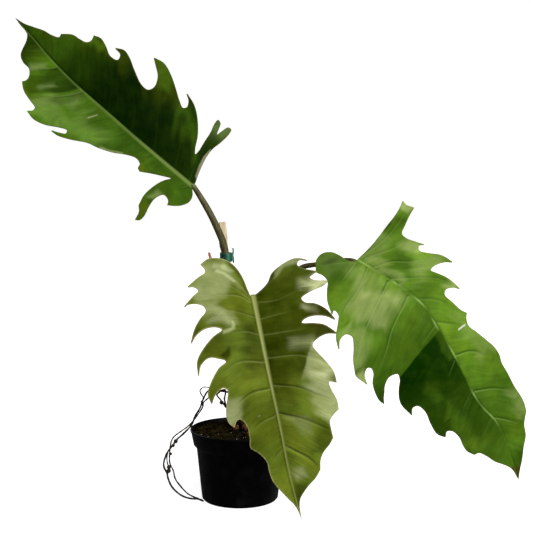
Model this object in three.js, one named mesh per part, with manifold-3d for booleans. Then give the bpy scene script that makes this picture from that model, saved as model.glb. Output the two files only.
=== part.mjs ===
// A potted chocolate empress philodendron: three large toothed leaves on long stalks, in a black
// nursery pot. Millimetres, +Z up. The origin is the centre of the pot's flat underside, on the
// surface that it stands on, and the leaves show their upper sides towards -Y.
import * as THREE from 'three';
import Module from 'manifold-3d';
import { mergeVertices } from 'three/addons/utils/BufferGeometryUtils.js';
import { TessellateModifier } from 'three/addons/modifiers/TessellateModifier.js';

// Pot and soil
const potRimRadius = 60;
const potHeight = 85.5;
const rimBandHeight = 19.5;
const rimBandLowerRadius = 55.9;
const wallTopRadius = 52.3;
const wallBottomRadius = 46;
const footRadius = 44.5;
const wall = 1.8;
const floorThickness = 2.4;
const drainHoles = { count: 8, radius: 4.5, circle: 33 };
const soilEdgeHeight = 81;
const soilCrown = 4;
const gap = 0.3;
const potSides = 44;

// Stem and stake
const stemPath = [[4, 3, 37], [4.5, 2, 85], [3, 1, 125], [2, 1, 161]];
const stemRadius = 7;
const stemKnots = { count: 5, swell: 1.3 };
const stake = { top: [-21, 11.5, 333], foot: [9, 18, 35], width: 8, depth: 7, corner: 1.2 };
const tieBand = { height: 10, thickness: 1.2, inside: 6.3, along: 0.139 };

// Stalks: from the stem to the base of each blade. radii: how thick, as [share of the way, radius].
// flap: a thin edge of old skin on the stalk's left side
const stalks = {
  upper: {
    path: [[-2.5, -1, 155], [-6, 0, 185], [-10.5, 1, 230], [-15.4, 0, 289], [-17.8, -1, 303], [-21.6, -2, 315],
      [-35.6, -6, 345.6], [-53.6, -8, 375.5]],
    radii: [[0, 5], [0.63, 3.9], [0.8, 3.7], [1, 2.7]],
    flap: { path: [[-24.4, -2.5, 319], [-23, -2, 310], [-22.3, -1.5, 304], [-20.2, -1, 297], [-18.5, -1, 290]], radius: 1.4 },
  },
  front: {
    path: [[2.5, -3, 138], [3.5, -11, 153], [5, -16, 167], [9, -40, 205], [14, -72, 238],
      [16.75, -89.9, 253.4]],
    radii: [[0, 4.6], [1, 2.9]],
  },
  right: {
    path: [[7.5, 2, 151], [13, 2.5, 172], [19, 3, 192], [33, 5, 228], [52, 5, 258], [74, 3, 279],
      [92, -4, 283.5], [112, -11, 288], [126, -19, 290.5], [135.7, -28.3, 290.4]],
    radii: [[0, 4.6], [1, 2.7]],
  },
};
const sheathPath = [[-5, -3, 138], [-10, -7, 155], [-14, -9, 175], [-22, -10, 225], [-30, -9, 273],
  [-36, -7, 298]];

// Roots in the air: out of the stem, over the rim on the left and back to the pot's foot
const rootStrands = [
  { radius: 1.15, path: [[-4, -2, 124], [-12, -4, 129], [-24, -8, 132], [-37, -11, 133], [-43, -12, 124],
    [-47, -13, 113], [-53, -14, 103], [-57, -15, 93], [-66, -16, 83], [-74, -17, 76], [-80, -18, 68],
    [-86, -19, 60], [-90, -20, 49], [-90, -20, 43], [-86.5, -19, 35], [-85.5, -18, 29], [-81, -15, 17],
    [-70, -11, 5.5], [-60, -10, 1.6], [-50, -12, 1.5], [-43.5, -19.5, 1.5]] },
  { radius: 0.9, path: [[-26, -9, 132], [-33, -13, 128], [-37, -14, 125], [-43, -13.5, 119], [-44, -14.5, 114],
    [-49, -15.5, 106], [-55, -16, 98], [-63, -17, 90], [-69, -18, 86], [-79, -19, 78], [-82, -20, 70],
    [-83, -20, 60], [-83, -20, 48], [-79, -19, 38], [-77, -16, 27.5], [-71, -12, 17], [-63, -8, 7],
    [-55, -7, 2.2], [-49.5, -9.5, 1.3]] },
  { radius: 0.7, path: [[-24, -8, 133], [-36, -12, 137], [-43, -13, 137.5], [-47, -14, 134], [-46, -14, 130],
    [-43, -12.5, 125]] },
  { radius: 0.8, path: [[-85, -19, 61], [-86, -21, 57], [-86, -22, 50], [-84, -21, 41], [-86, -19, 36]] },
  { radius: 1.1, path: [[-23, -8, 132.5], [-17, -12, 134], [-17, -13, 129], [-18, -14, 124], [-16, -15, 114]] },
  { radius: 1.0, path: [[-24, -9, 131], [-27, -12, 128], [-23, -13, 123], [-20, -14, 119], [-16, -15, 113]] },
];
// Knots of root and clinging soil, as [x, y, z, radius]
const rootClumps = [[-76, -18, 73.5, 2.4], [-79, -18.5, 68.5, 2], [-81.8, -20.5, 59, 1.6], [-84, -20.5, 43, 2.4],
  [-84.5, -19.5, 38, 2.6], [-45, -12.5, 120, 1.5], [-21.5, -14, 119.5, 2.5]];

// Blades. spine: the midrib from the stalk to the tip. facing: where the upper side looks at the
// base, the middle and the tip. fold: how far each half lifts from flat, as [along, degrees], and
// droop: how fast it bends back down, in degrees for each 100 mm out. wave: the rise and fall of
// the margin, with its phase on the left and right half. A margin goes from the stalk to the tip,
// with a row for each lobe or tooth up to its point, as [along the midrib, out from it].
const bladeThickness = 1.1;
// How much the cross direction keeps to the whole leaf's line, and how far a crease runs forward
// for each millimetre that it runs out
const calm = 0.5;
const lean = 0.3;
// How far out from the midrib the wave of the margin has grown to most of its height
const waveReach = 42;
const leaves = {
  upper: {
    colour: 0x35601b,
    ribRadii: [3.1, 0.7],
    spine: [[-54, -8, 377], [-103, -22, 419], [-142, -28, 454], [-194, -23, 500], [-231, -11, 538],
      [-263, 5, 573]],
    facing: [[0.15, -0.93, 0.34], [0.12, -0.96, 0.25], [0, -0.99, 0.1]],
    wave: { height: 2.5, length: 62, start: [0, 2] },
    left: {
      fold: [[0, 18], [150, 20], [293, 12]],
      droop: 25,
      margin: [
        [[0, 3.4], [-7, 12], [-9, 21], [-5, 31], [1, 38], [8, 43]],
        [[11, 38], [19, 36], [24, 47], [23, 59], [20, 72], [21, 78.5], [25, 81]],
        [[28, 71], [33, 65]],
        [[36, 51], [34, 33], [30, 21], [26, 13.5]],
        [[37, 19], [47, 25], [57, 32]],
        [[61, 30], [63, 24], [70, 22], [79, 26], [93, 36], [109, 43.5], [119, 47], [135, 58],
          [147, 63.5], [156, 63.5]],
        [[149, 60], [143, 56], [145, 52], [153, 55], [167, 63], [180, 67], [190, 65]],
        [[187, 60], [188, 56], [197, 54], [210, 51], [221, 44.5]],
        [[219, 40], [221, 34], [229, 28], [240, 28], [249, 24], [259, 8], [265, 2.4], [271, 1], [282, 1], [293, 0]],
      ],
    },
    right: {
      fold: [[0, 18], [150, 24], [293, 14]],
      droop: 30,
      margin: [
        [[0, 3.4], [5, 16], [10, 34], [11, 48], [9, 60], [8, 75], [9.5, 82], [14, 82], [17, 72],
          [18.5, 66], [21, 72.5], [24, 80], [29, 81.5], [29, 74], [26, 63], [24, 48], [22, 37]],
        [[22.5, 30], [27, 35], [35, 49], [48, 63], [62, 73], [77, 78]],
        [[71, 73], [67, 65], [70, 61.5], [79, 66], [91, 73.5], [106, 81], [120.5, 85], [132, 82]],
        [[125, 76], [115, 68], [110, 57], [113, 49], [122, 48.5], [138, 56], [153, 64], [163, 66],
          [171, 60.5]],
        [[163, 59], [161, 52.5], [170, 50], [182, 55], [193, 57.5], [202, 54.5]],
        [[200, 48], [203, 43], [212, 40], [222, 37.5], [233, 28]],
        [[232, 24], [241, 19], [252, 16], [267, 9], [278, 4], [293, 0]],
      ],
    },
  },
  front: {
    colour: 0x6a7a2c,
    ribRadii: [2.9, 0.7],
    spine: [[17, -92, 256], [24, -118, 226], [35, -130, 175], [47, -127, 118], [57, -117, 65],
      [71, -104, 7]],
    facing: [[0, -0.8, 0.6], [0.02, -0.98, 0], [0.02, -0.95, -0.25]],
    wave: { height: 2.5, length: 54, start: [1, 3] },
    left: {
      fold: [[0, 16], [130, 24], [269, 16]],
      droop: 30,
      margin: [
        [[0, 3], [-4, 11], [-10, 19], [-19, 25], [-26, 36], [-31, 50], [-31, 58], [-27, 67]],
        [[-28, 59], [-24, 55.5], [-19, 60], [-12, 75]],
        [[-9, 70], [-6, 66], [-3, 68], [1.5, 85.5]],
        [[7, 79.5], [13, 62], [19, 51.5], [25, 54], [29, 65], [38, 75], [51, 81]],
        [[46, 72], [43, 59], [45, 49], [48, 46], [51, 58], [55, 69], [66, 79]],
        [[65, 69], [68, 58], [73, 52.5], [81, 56], [92, 63], [104, 69], [115, 69.5]],
        [[113, 62], [121, 63], [134, 67], [144, 67]],
        [[148, 61], [154, 55.5], [163, 55], [172, 55.5]],
        [[180, 50], [189, 42], [198, 37.5], [209, 35]],
        [[218, 28], [225, 20], [232, 13], [242, 5], [252, 1.6], [268.7, 0]],
      ],
    },
    right: {
      fold: [[0, 14], [130, 20], [269, 16]],
      droop: 30,
      margin: [
        [[0, 3], [-9, 5], [-20, 7], [-33, 12], [-42, 19], [-48, 30], [-49, 42], [-44, 50]],
        [[-38, 47.5], [-34, 48], [-30, 56], [-21, 69]],
        [[-19, 63], [-14, 59], [-9, 66], [0, 77]],
        [[-1, 72], [1, 61], [6, 55.5], [12, 55], [20, 62], [32, 70], [45, 76]],
        [[39, 69], [34, 59], [34, 48], [38, 41], [43, 51], [52, 63], [64, 73], [78, 74.5]],
        [[70, 70], [64, 60], [67, 50], [71, 43.5], [76, 52], [87, 62], [99, 69], [110, 67.5]],
        [[102, 61], [97, 52], [100, 48], [110, 50.5], [124, 55], [134, 54.5], [140, 49.5]],
        [[134, 45], [134, 41], [143, 36], [158, 36], [168, 37], [177, 29], [189, 22.5], [201, 22],
          [214, 20], [228, 14], [240, 8], [252, 2.5], [268.7, 0]],
      ],
    },
  },
  right: {
    colour: 0x5f8a2f,
    ribRadii: [2.8, 0.7],
    spine: [[137, -30, 290], [175, -43, 267], [216, -48, 234], [242, -43, 193], [274, -31, 135],
      [308, -21, 91], [335, -8, 24]],
    facing: [[0.1, -0.92, 0.38], [0.22, -0.96, 0.12], [0.25, -0.96, -0.1]],
    wave: { height: 2.5, length: 70, start: [0, 1] },
    left: {
      fold: [[0, 4], [100, -4], [200, -10], [346, -8]],
      droop: 20,
      margin: [
        [[-0.5, 3], [0.5, 16], [0.5, 34], [-1.5, 56], [-3, 78], [-6, 94.5], [-7.5, 101.5]],
        [[-3, 100.5], [8, 101.5]],
        [[10, 89.5], [14, 73], [19, 58], [27, 56.5], [37, 60], [46, 63.5]],
        [[43, 58], [47, 53.5], [57, 58], [70, 66], [83, 67.5]],
        [[77, 60], [72, 49], [72, 41], [79, 43], [90, 47.5], [107, 51]],
        [[102, 45], [98, 35], [101, 30], [112, 32.5], [126, 37.5], [133.5, 42.5]],
        [[138, 38.5], [147, 36], [158, 41], [175, 50], [193, 59], [206, 60.5], [216, 56.5], [232, 54],
          [252, 49.5], [270, 48], [281, 44]],
        [[285, 38], [291, 32.5], [303, 29], [314, 21], [326, 14], [335, 7], [345.7, 0]],
      ],
    },
    right: {
      fold: [[0, 10], [90, 10], [150, -8], [220, -10], [346, -8]],
      droop: 20,
      margin: [
        [[-0.5, 3], [-8, 8.5], [-18, 10.5], [-28, 14.5], [-35, 24], [-35, 34], [-30, 41], [-25, 45.5],
          [-17, 43.5], [-9, 45], [-2, 54], [7, 65], [21, 74]],
        [[20, 69.5], [27, 70.5], [34, 79.5], [42.5, 92], [55, 102.5]],
        [[49.5, 93], [50, 84], [56, 82.5], [65.5, 91.5], [77.5, 104.5], [94, 112.5], [106, 114],
          [125.5, 108.5]],
        [[111.5, 104.5], [104.5, 98.5], [109, 95], [118.5, 95.5], [130, 102], [147, 103.5],
          [161.5, 101.5], [169.5, 98]],
        [[157, 95], [142.5, 89.5], [136.5, 80.5], [140.5, 69.5], [148.5, 70], [163, 75.5], [181, 80],
          [199, 75.5]],
        [[193, 70], [194, 63.5], [204, 60], [218, 62.5], [231, 63.5], [241, 58]],
        [[236, 52], [240, 47], [252, 45.5], [266, 48], [277, 47.5], [287, 41.5]],
        [[288, 35], [297, 28], [309, 20.5], [321, 9], [330, 3], [345.7, 0]],
      ],
    },
  },
};
const ribSteps = 12;
const widestTriangle = 26;

const wasm = await Module();
wasm.setup();

const group = new THREE.Group();

function material(colour, roughness) {
  return new THREE.MeshStandardMaterial({ color: colour, roughness, metalness: 0 });
}

function add(name, geometry, colour, roughness) {
  const mesh = new THREE.Mesh(geometry, material(colour, roughness));
  mesh.name = name;
  group.add(mesh);
}

function vectors(points) {
  return points.map((p) => new THREE.Vector3(...p));
}

function curveThrough(points) {
  return new THREE.CatmullRomCurve3(vectors(points), false, 'centripetal');
}

function toManifold(geometry) {
  const bare = geometry.clone();
  bare.deleteAttribute('normal');
  bare.deleteAttribute('uv');
  const merged = mergeVertices(bare, 1e-4);
  return new wasm.Manifold(new wasm.Mesh({
    numProp: 3,
    vertProperties: new Float32Array(merged.attributes.position.array),
    triVerts: new Uint32Array(merged.index.array),
  }));
}

function toGeometry(solid) {
  const mesh = solid.getMesh();
  const geometry = new THREE.BufferGeometry();
  geometry.setAttribute('position', new THREE.BufferAttribute(mesh.vertProperties, 3));
  geometry.setIndex(new THREE.BufferAttribute(mesh.triVerts, 1));
  return geometry;
}

function join(geometries) {
  return toGeometry(geometries.map(toManifold).reduce((whole, next) => whole.add(next)));
}

function cut(geometry, tools) {
  return toGeometry(tools.map(toManifold).reduce((rest, tool) => rest.subtract(tool), toManifold(geometry)));
}

// A round solid with the outline [radius, height], turned about +Z
function turned(outline, segments) {
  const profile = outline.map(([radius, height]) => new THREE.Vector2(radius, height));
  return new THREE.LatheGeometry(profile, segments).rotateX(Math.PI / 2);
}

// A round rod along a curve. radiusAt gives the radius from 0, its start, to 1, its end.
function rod(path, radiusAt, steps, sides) {
  const curve = path instanceof THREE.Curve ? path : curveThrough(path);
  const outline = [new THREE.Vector2(0, 0)];
  for (let i = 0; i <= steps; i += 1) {
    outline.push(new THREE.Vector2(radiusAt(i / steps), i));
  }
  outline.push(new THREE.Vector2(0, steps));
  const geometry = new THREE.LatheGeometry(outline, sides);
  const frames = curve.computeFrenetFrames(steps, false);
  const position = geometry.attributes.position;
  const point = new THREE.Vector3();
  for (let i = 0; i < position.count; i += 1) {
    const ring = Math.round(position.getY(i));
    point.copy(curve.getPointAt(ring / steps));
    point.addScaledVector(frames.normals[ring], position.getX(i));
    point.addScaledVector(frames.binormals[ring], -position.getZ(i));
    position.setXYZ(i, point.x, point.y, point.z);
  }
  return geometry;
}

// Pot: a moulded shell with a band under the rim, a flat floor and drain holes
function makePot() {
  const bandFoot = potHeight - rimBandHeight;
  const outer = [
    [0, 0], [footRadius, 0], [wallBottomRadius, 2], [wallTopRadius, bandFoot - 3],
    [rimBandLowerRadius - 1, bandFoot], [rimBandLowerRadius, bandFoot + 1],
    [potRimRadius - 1.2, potHeight - 4], [potRimRadius, potHeight - 1.4], [potRimRadius - 0.6, potHeight],
  ];
  const inner = [
    [potRimRadius - wall, potHeight], [rimBandLowerRadius - wall, bandFoot + 3],
    [wallTopRadius - wall, bandFoot - 2], [wallBottomRadius - wall, floorThickness + 1.5],
    [wallBottomRadius - wall - 1.5, floorThickness], [0, floorThickness],
  ];
  const holes = [];
  for (let i = 0; i < drainHoles.count; i += 1) {
    const turn = (i / drainHoles.count) * Math.PI * 2;
    const hole = turned([[0, -2], [drainHoles.radius, -2], [drainHoles.radius, 6], [0, 6]], 12);
    hole.translate(drainHoles.circle * Math.cos(turn), drainHoles.circle * Math.sin(turn), 0);
    holes.push(hole);
  }
  return cut(turned([...outer, ...inner], potSides), holes);
}

function soilHeight(x, y) {
  const out = Math.hypot(x, y) / potRimRadius;
  const lumps = 0.9 * Math.sin(x * 0.31 + 1) * Math.cos(y * 0.27) + 0.6 * Math.sin(x * 0.29 - y * 0.26);
  return soilEdgeHeight + soilCrown * (1 - out * out) + lumps * Math.min(1, (1 - out) * 5);
}

function stemRadiusAt(t, extra) {
  const knot = Math.abs(Math.sin(t * Math.PI * stemKnots.count));
  return (stemRadius - 1.6 * t) + stemKnots.swell * (1 - knot) ** 2 + extra;
}

// The stem, or with extra a body larger all round that cuts its hole
function stemRod(extra) {
  const path = vectors(stemPath);
  path[0].z -= extra;
  path[path.length - 1].z += extra;
  const curve = new THREE.CatmullRomCurve3(path, false, 'centripetal');
  return rod(curve, (t) => stemRadiusAt(t, extra), 26, 14);
}

function stakeRod(extra) {
  const section = new THREE.Shape();
  const w = stake.width / 2 + extra;
  const d = stake.depth / 2 + extra;
  const r = stake.corner;
  section.moveTo(-w + r, -d);
  section.lineTo(w - r, -d);
  section.absarc(w - r, -d + r, r, -Math.PI / 2, 0);
  section.lineTo(w, d - r);
  section.absarc(w - r, d - r, r, 0, Math.PI / 2);
  section.lineTo(-w + r, d);
  section.absarc(-w + r, d - r, r, Math.PI / 2, Math.PI);
  section.lineTo(-w, -d + r);
  section.absarc(-w + r, -d + r, r, Math.PI, Math.PI * 1.5);
  const foot = new THREE.Vector3(...stake.foot);
  const top = new THREE.Vector3(...stake.top);
  const along = top.clone().sub(foot);
  const geometry = new THREE.ExtrudeGeometry(section, {
    depth: along.length() + extra, steps: 1, bevelEnabled: false, curveSegments: 3,
  });
  geometry.translate(0, 0, -extra);
  geometry.applyQuaternion(new THREE.Quaternion().setFromUnitVectors(new THREE.Vector3(0, 0, 1), along.normalize()));
  return geometry.translate(foot.x, foot.y, foot.z);
}

// Soil: fills the pot, crowned and lumpy on top, with plain holes for the stem and the stake
function makeSoil() {
  const rings = [0.1, 0.2, 0.3, 0.4, 0.5, 0.62, 0.76, 0.88, 0.97, 1];
  const edge = potRimRadius - wall - gap - 2.2;
  const bandFoot = potHeight - rimBandHeight;
  const side = [
    [wallBottomRadius - wall - gap - 1.5, floorThickness + gap],
    [wallBottomRadius - wall - gap, floorThickness + gap + 1.5],
    [wallTopRadius - wall - gap, bandFoot - 2],
    [rimBandLowerRadius - wall - gap, bandFoot + 3],
  ];
  const outline = [[0, floorThickness + gap], ...side];
  for (const ring of [...rings].reverse()) {
    outline.push([edge * ring, soilEdgeHeight]);
  }
  outline.push([0, soilEdgeHeight]);
  const geometry = turned(outline, potSides);
  const position = geometry.attributes.position;
  for (let i = 0; i < position.count; i += 1) {
    if (position.getZ(i) > soilEdgeHeight - 0.01) {
      position.setZ(i, soilHeight(position.getX(i), position.getY(i)));
    }
  }
  return cut(geometry, [stemRod(gap), stakeRod(gap)]);
}

// Husk chunks: many-sided bits of coco husk lying on the soil by the stem
const huskChunks = [
  { at: [-5, -9.5], size: [8, 5, 5], turn: 0.5 },
  { at: [6.5, -11.5], size: [9, 7, 7], turn: 1.9 },
  { at: [12, -20.5], size: [9, 6, 5], turn: 2.7 },
  { at: [10.5, -32], size: [5, 4, 4], turn: 0.9 },
];

// A chunk is let down until its lowest corner is the usual gap above the soil
function makeHusk({ at, size, turn }) {
  const chunk = new THREE.DodecahedronGeometry(0.53, 0).scale(...size).rotateZ(turn).translate(...at, 0);
  const corners = chunk.attributes.position;
  let seat = 0;
  for (let i = 0; i < corners.count; i += 1) {
    seat = Math.max(seat, soilHeight(corners.getX(i), corners.getY(i)) - corners.getZ(i));
  }
  return chunk.translate(0, 0, seat + gap * 1.5);
}

// Stalks start against the stem and keep the usual gap from it
function makeStalk({ path, radii, flap }) {
  const stalk = rod(path, (t) => ramp(radii, t), 26, 10);
  const geometry = flap ? join([stalk, rod(flap.path, () => flap.radius, 10, 6)]) : stalk;
  return cut(geometry, [stemRod(gap)]);
}

function makeTie(curve) {
  const stakeFoot = new THREE.Vector3(...stake.foot);
  const stakeTop = new THREE.Vector3(...stake.top);
  const onStake = stakeTop.clone().lerp(stakeFoot, tieBand.along);
  const stalkPoints = curve.getSpacedPoints(400);
  const onStalk = stalkPoints.reduce((best, p) => (Math.abs(p.z - onStake.z) < Math.abs(best.z - onStake.z) ? p : best));
  const across = onStake.clone().sub(onStalk);
  const reach = Math.hypot(across.x, across.y);
  const half = tieBand.inside;
  const ring = (grow) => {
    const shape = new THREE.Shape();
    shape.absarc(0, 0, half + grow, Math.PI / 2, Math.PI * 1.5);
    shape.lineTo(reach, -half - grow);
    shape.absarc(reach, 0, half + grow, -Math.PI / 2, Math.PI / 2);
    return shape;
  };
  const band = ring(tieBand.thickness);
  band.holes.push(new THREE.Path(ring(0).getPoints(8).reverse()));
  const loop = new THREE.ExtrudeGeometry(band, {
    depth: tieBand.height, steps: 1, bevelEnabled: false, curveSegments: 8,
  });
  loop.translate(0, 0, -tieBand.height / 2);
  const knotPlace = [reach * 0.3, -half - 1, 0];
  const knot = new THREE.SphereGeometry(2.1, 8, 6).translate(...knotPlace);
  const tail = rod([knotPlace, [reach * 0.3, -half - 2, 6], [reach * 0.2, -half - 1.6, 11]], () => 0.9, 4, 6);
  const otherTail = rod([knotPlace, [reach * 0.4, -half - 2.4, -3], [reach * 0.5, -half - 2.6, -7]], () => 0.9, 4, 6);
  const whole = join([loop, knot, tail, otherTail]);
  whole.rotateZ(Math.atan2(across.y, across.x));
  return whole.translate(onStalk.x, onStalk.y, onStake.z);
}

function makeRoots() {
  const strands = rootStrands.map(({ radius, path }) => {
    const knobbly = (t) => radius * (1 + 0.18 * Math.sin(t * 47 + radius * 9));
    return rod(path, knobbly, path.length * 2, 5);
  });
  const lumps = rootClumps.map(([x, y, z, r]) => new THREE.IcosahedronGeometry(r, 0).translate(x, y, z));
  return join([...strands, ...lumps]);
}

function ramp(knots, x) {
  if (x <= knots[0][0]) {
    return knots[0][1];
  }
  for (let i = 1; i < knots.length; i += 1) {
    if (x <= knots[i][0]) {
      const t = (x - knots[i - 1][0]) / (knots[i][0] - knots[i - 1][0]);
      return knots[i - 1][1] + (knots[i][1] - knots[i - 1][1]) * t * t * (3 - 2 * t);
    }
  }
  return knots[knots.length - 1][1];
}

// The direction of the midrib, the way the upper side looks and the way to the right half
function bladeFrame(leaf, along) {
  const t = THREE.MathUtils.clamp(along / leaf.length, 0, 1);
  const forward = leaf.curve.getTangentAt(t).multiplyScalar(1 - calm);
  forward.addScaledVector(leaf.chord, calm).normalize();
  const [base, middle, tip] = leaf.looks;
  const up = base.clone().multiplyScalar((1 - t) * (1 - 2 * t));
  up.addScaledVector(middle, 4 * t * (1 - t));
  up.addScaledVector(tip, t * (2 * t - 1));
  up.addScaledVector(forward, -up.dot(forward)).normalize();
  return { forward, up, right: forward.clone().cross(up) };
}

// A point of the blade's middle surface. across is negative on the left half.
function bladePoint(leaf, along, across) {
  const side = across < 0 ? 0 : 1;
  const half = side === 0 ? leaf.left : leaf.right;
  const out = Math.abs(across);
  const { forward, up, right } = bladeFrame(leaf, along);
  const fold = THREE.MathUtils.degToRad(ramp(half.fold, along - lean * out));
  const bend = THREE.MathUtils.degToRad(half.droop) / 100;
  const sideways = (Math.sin(fold) - Math.sin(fold - bend * out)) / bend;
  const waving = leaf.wave.height * (1 - Math.exp(-((out / waveReach) ** 2)));
  const lift = (Math.cos(fold - bend * out) - Math.cos(fold)) / bend
    + waving * Math.sin((along / leaf.wave.length) * Math.PI * 2 + leaf.wave.start[side]);
  const point = leaf.curve.getPointAt(THREE.MathUtils.clamp(along / leaf.length, 0, 1));
  if (along < 0) {
    point.addScaledVector(forward, along);
  }
  point.addScaledVector(right, side === 0 ? -sideways : sideways);
  return { point: point.addScaledVector(up, lift), up };
}

// One half's outline, flat: along the midrib to the tip and back along the margin
function halfOutline(leaf, half, sign) {
  const outline = [];
  for (let i = 0; i <= ribSteps; i += 1) {
    outline.push(new THREE.Vector2((leaf.length * i) / ribSteps, 0));
  }
  const margin = half.margin.flat().slice(0, -1);
  for (const [along, out] of margin.reverse()) {
    outline.push(new THREE.Vector2(along, out * sign));
  }
  return outline;
}

// Splits a flat outline into triangles no wider than widestTriangle
function flatTriangles(outline) {
  const corners = [];
  for (const face of THREE.ShapeUtils.triangulateShape(outline, [])) {
    const [a, b, c] = face.map((i) => outline[i]);
    const area = (b.x - a.x) * (c.y - a.y) - (b.y - a.y) * (c.x - a.x);
    const order = area > 0 ? [a, b, c] : [a, c, b];
    for (const corner of order) {
      corners.push(corner.x, corner.y, 0);
    }
  }
  const flat = new THREE.BufferGeometry();
  flat.setAttribute('position', new THREE.Float32BufferAttribute(corners, 3));
  return new TessellateModifier(widestTriangle, 9).modify(flat).attributes.position.array;
}

// A blade: both halves split into the same triangles on the upper and lower face, closed by a rim,
// with the midrib as a tapering rod through it
function makeBlade(leaf) {
  leaf.curve = curveThrough(leaf.spine);
  leaf.curve.arcLengthDivisions = 600;
  leaf.length = leaf.curve.getLength();
  leaf.looks = vectors(leaf.facing);
  const ends = [leaf.curve.getPointAt(0), leaf.curve.getPointAt(1)];
  leaf.chord = ends[1].sub(ends[0]).normalize();
  const corners = [
    ...flatTriangles(halfOutline(leaf, leaf.left, -1)),
    ...flatTriangles(halfOutline(leaf, leaf.right, 1)),
  ];
  const flat = new THREE.BufferGeometry();
  flat.setAttribute('position', new THREE.Float32BufferAttribute(corners, 3));
  const merged = mergeVertices(flat, 1e-3);
  const places = merged.attributes.position;
  const faces = merged.index.array;
  const upper = [];
  const lower = [];
  for (let i = 0; i < places.count; i += 1) {
    const { point, up } = bladePoint(leaf, places.getX(i), places.getY(i));
    upper.push(...point.clone().addScaledVector(up, bladeThickness / 2).toArray());
    lower.push(...point.clone().addScaledVector(up, -bladeThickness / 2).toArray());
  }
  const index = [];
  const rim = new Map();
  for (let i = 0; i < faces.length; i += 3) {
    const [a, b, c] = [faces[i], faces[i + 1], faces[i + 2]];
    index.push(a, c, b);
    index.push(a + places.count, b + places.count, c + places.count);
    for (const [p, q] of [[a, b], [b, c], [c, a]]) {
      if (!rim.delete(`${q} ${p}`)) {
        rim.set(`${p} ${q}`, [p, q]);
      }
    }
  }
  for (const [p, q] of rim.values()) {
    index.push(p, q, q + places.count);
    index.push(p, q + places.count, p + places.count);
  }
  const blade = new THREE.BufferGeometry();
  blade.setAttribute('position', new THREE.Float32BufferAttribute([...upper, ...lower], 3));
  blade.setIndex(index);
  const ribPath = leaf.curve.getSpacedPoints(30).slice(0, 29);
  const [thick, thin] = leaf.ribRadii;
  const rib = rod(new THREE.CatmullRomCurve3(ribPath), (t) => thick + (thin - thick) * Math.sqrt(t), 14, 6);
  return join([blade, rib]);
}

add('pot', makePot(), 0x15161a, 0.55);
add('soil', makeSoil(), 0x3a2a1e, 0.95);
huskChunks.forEach((chunk, index) => add(`husk_chunk_${index + 1}`, makeHusk(chunk), 0x9a5f34, 0.9));
add('stem', stemRod(0), 0x4d4a2c, 0.7);
add('stake', stakeRod(0), 0xd9c6a0, 0.75);
for (const [place, stalk] of Object.entries(stalks)) {
  add(`stalk_${place}`, makeStalk(stalk), 0x6b6248, 0.6);
}
const sheathRadius = (t) => 1.5 * (1 - t) ** 0.6 + 1.5;
add('sheath', cut(rod(sheathPath, sheathRadius, 18, 8), [stemRod(gap)]), 0xb0766a, 0.6);
add('tie', makeTie(curveThrough(stalks.upper.path)), 0x1f8f86, 0.5);
add('aerial_roots', cut(makeRoots(), [stemRod(gap)]), 0x3b2f26, 0.85);
for (const [place, leaf] of Object.entries(leaves)) {
  add(`leaf_${place}`, makeBlade(leaf), leaf.colour, 0.45);
}

export default group;
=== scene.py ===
import math
import random

import bmesh
import bpy
import numpy as np
from mathutils import Matrix, Vector, noise


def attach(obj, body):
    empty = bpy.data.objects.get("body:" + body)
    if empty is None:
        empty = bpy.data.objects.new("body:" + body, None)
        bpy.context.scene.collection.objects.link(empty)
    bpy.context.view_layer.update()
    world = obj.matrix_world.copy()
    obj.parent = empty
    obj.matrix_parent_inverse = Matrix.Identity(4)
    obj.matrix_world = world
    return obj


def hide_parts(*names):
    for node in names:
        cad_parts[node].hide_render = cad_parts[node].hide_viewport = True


# Lengths in the dictionaries are millimetres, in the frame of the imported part, apart from the
# studio's and the depths of bumps, which are metres. Shapes turn to metres where they are made.
mm = 0.001
noiseSeed = 2

noise.seed_set(noiseSeed)
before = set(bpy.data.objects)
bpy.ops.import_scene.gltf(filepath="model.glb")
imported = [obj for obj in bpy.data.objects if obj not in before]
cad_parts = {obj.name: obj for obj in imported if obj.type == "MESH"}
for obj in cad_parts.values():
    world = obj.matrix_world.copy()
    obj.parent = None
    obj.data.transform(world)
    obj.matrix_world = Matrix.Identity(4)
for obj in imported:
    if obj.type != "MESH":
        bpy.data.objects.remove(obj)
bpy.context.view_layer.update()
print("frame loaded:", len(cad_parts), "nodes")


def linkObject(name, data):
    thing = bpy.data.objects.new(name, data)
    bpy.context.scene.collection.objects.link(thing)
    return thing


def meshFrom(bm, name):
    mesh = bpy.data.meshes.new(name)
    bm.to_mesh(mesh)
    bm.free()
    return mesh


# Camera

cameraSetup = {"place": (32, -1188, 372), "pitch": 4.4, "focalPixels": 1000, "imagePixels": 533,
               "sensor": 36}


def makeCamera(setup):
    data = bpy.data.cameras.new("camera")
    data.sensor_width = setup["sensor"]
    data.lens = setup["sensor"] * setup["focalPixels"] / setup["imagePixels"]
    camera = linkObject("camera", data)
    camera.location = Vector(setup["place"]) * mm
    camera.rotation_euler = (math.radians(90 - setup["pitch"]), 0, 0)
    bpy.context.scene.camera = camera


makeCamera(cameraSetup)
print("camera ready")


# Node helpers for the materials

noiseSpread = (0.3, 0.7)  # where most of a noise pattern's values lie


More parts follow.
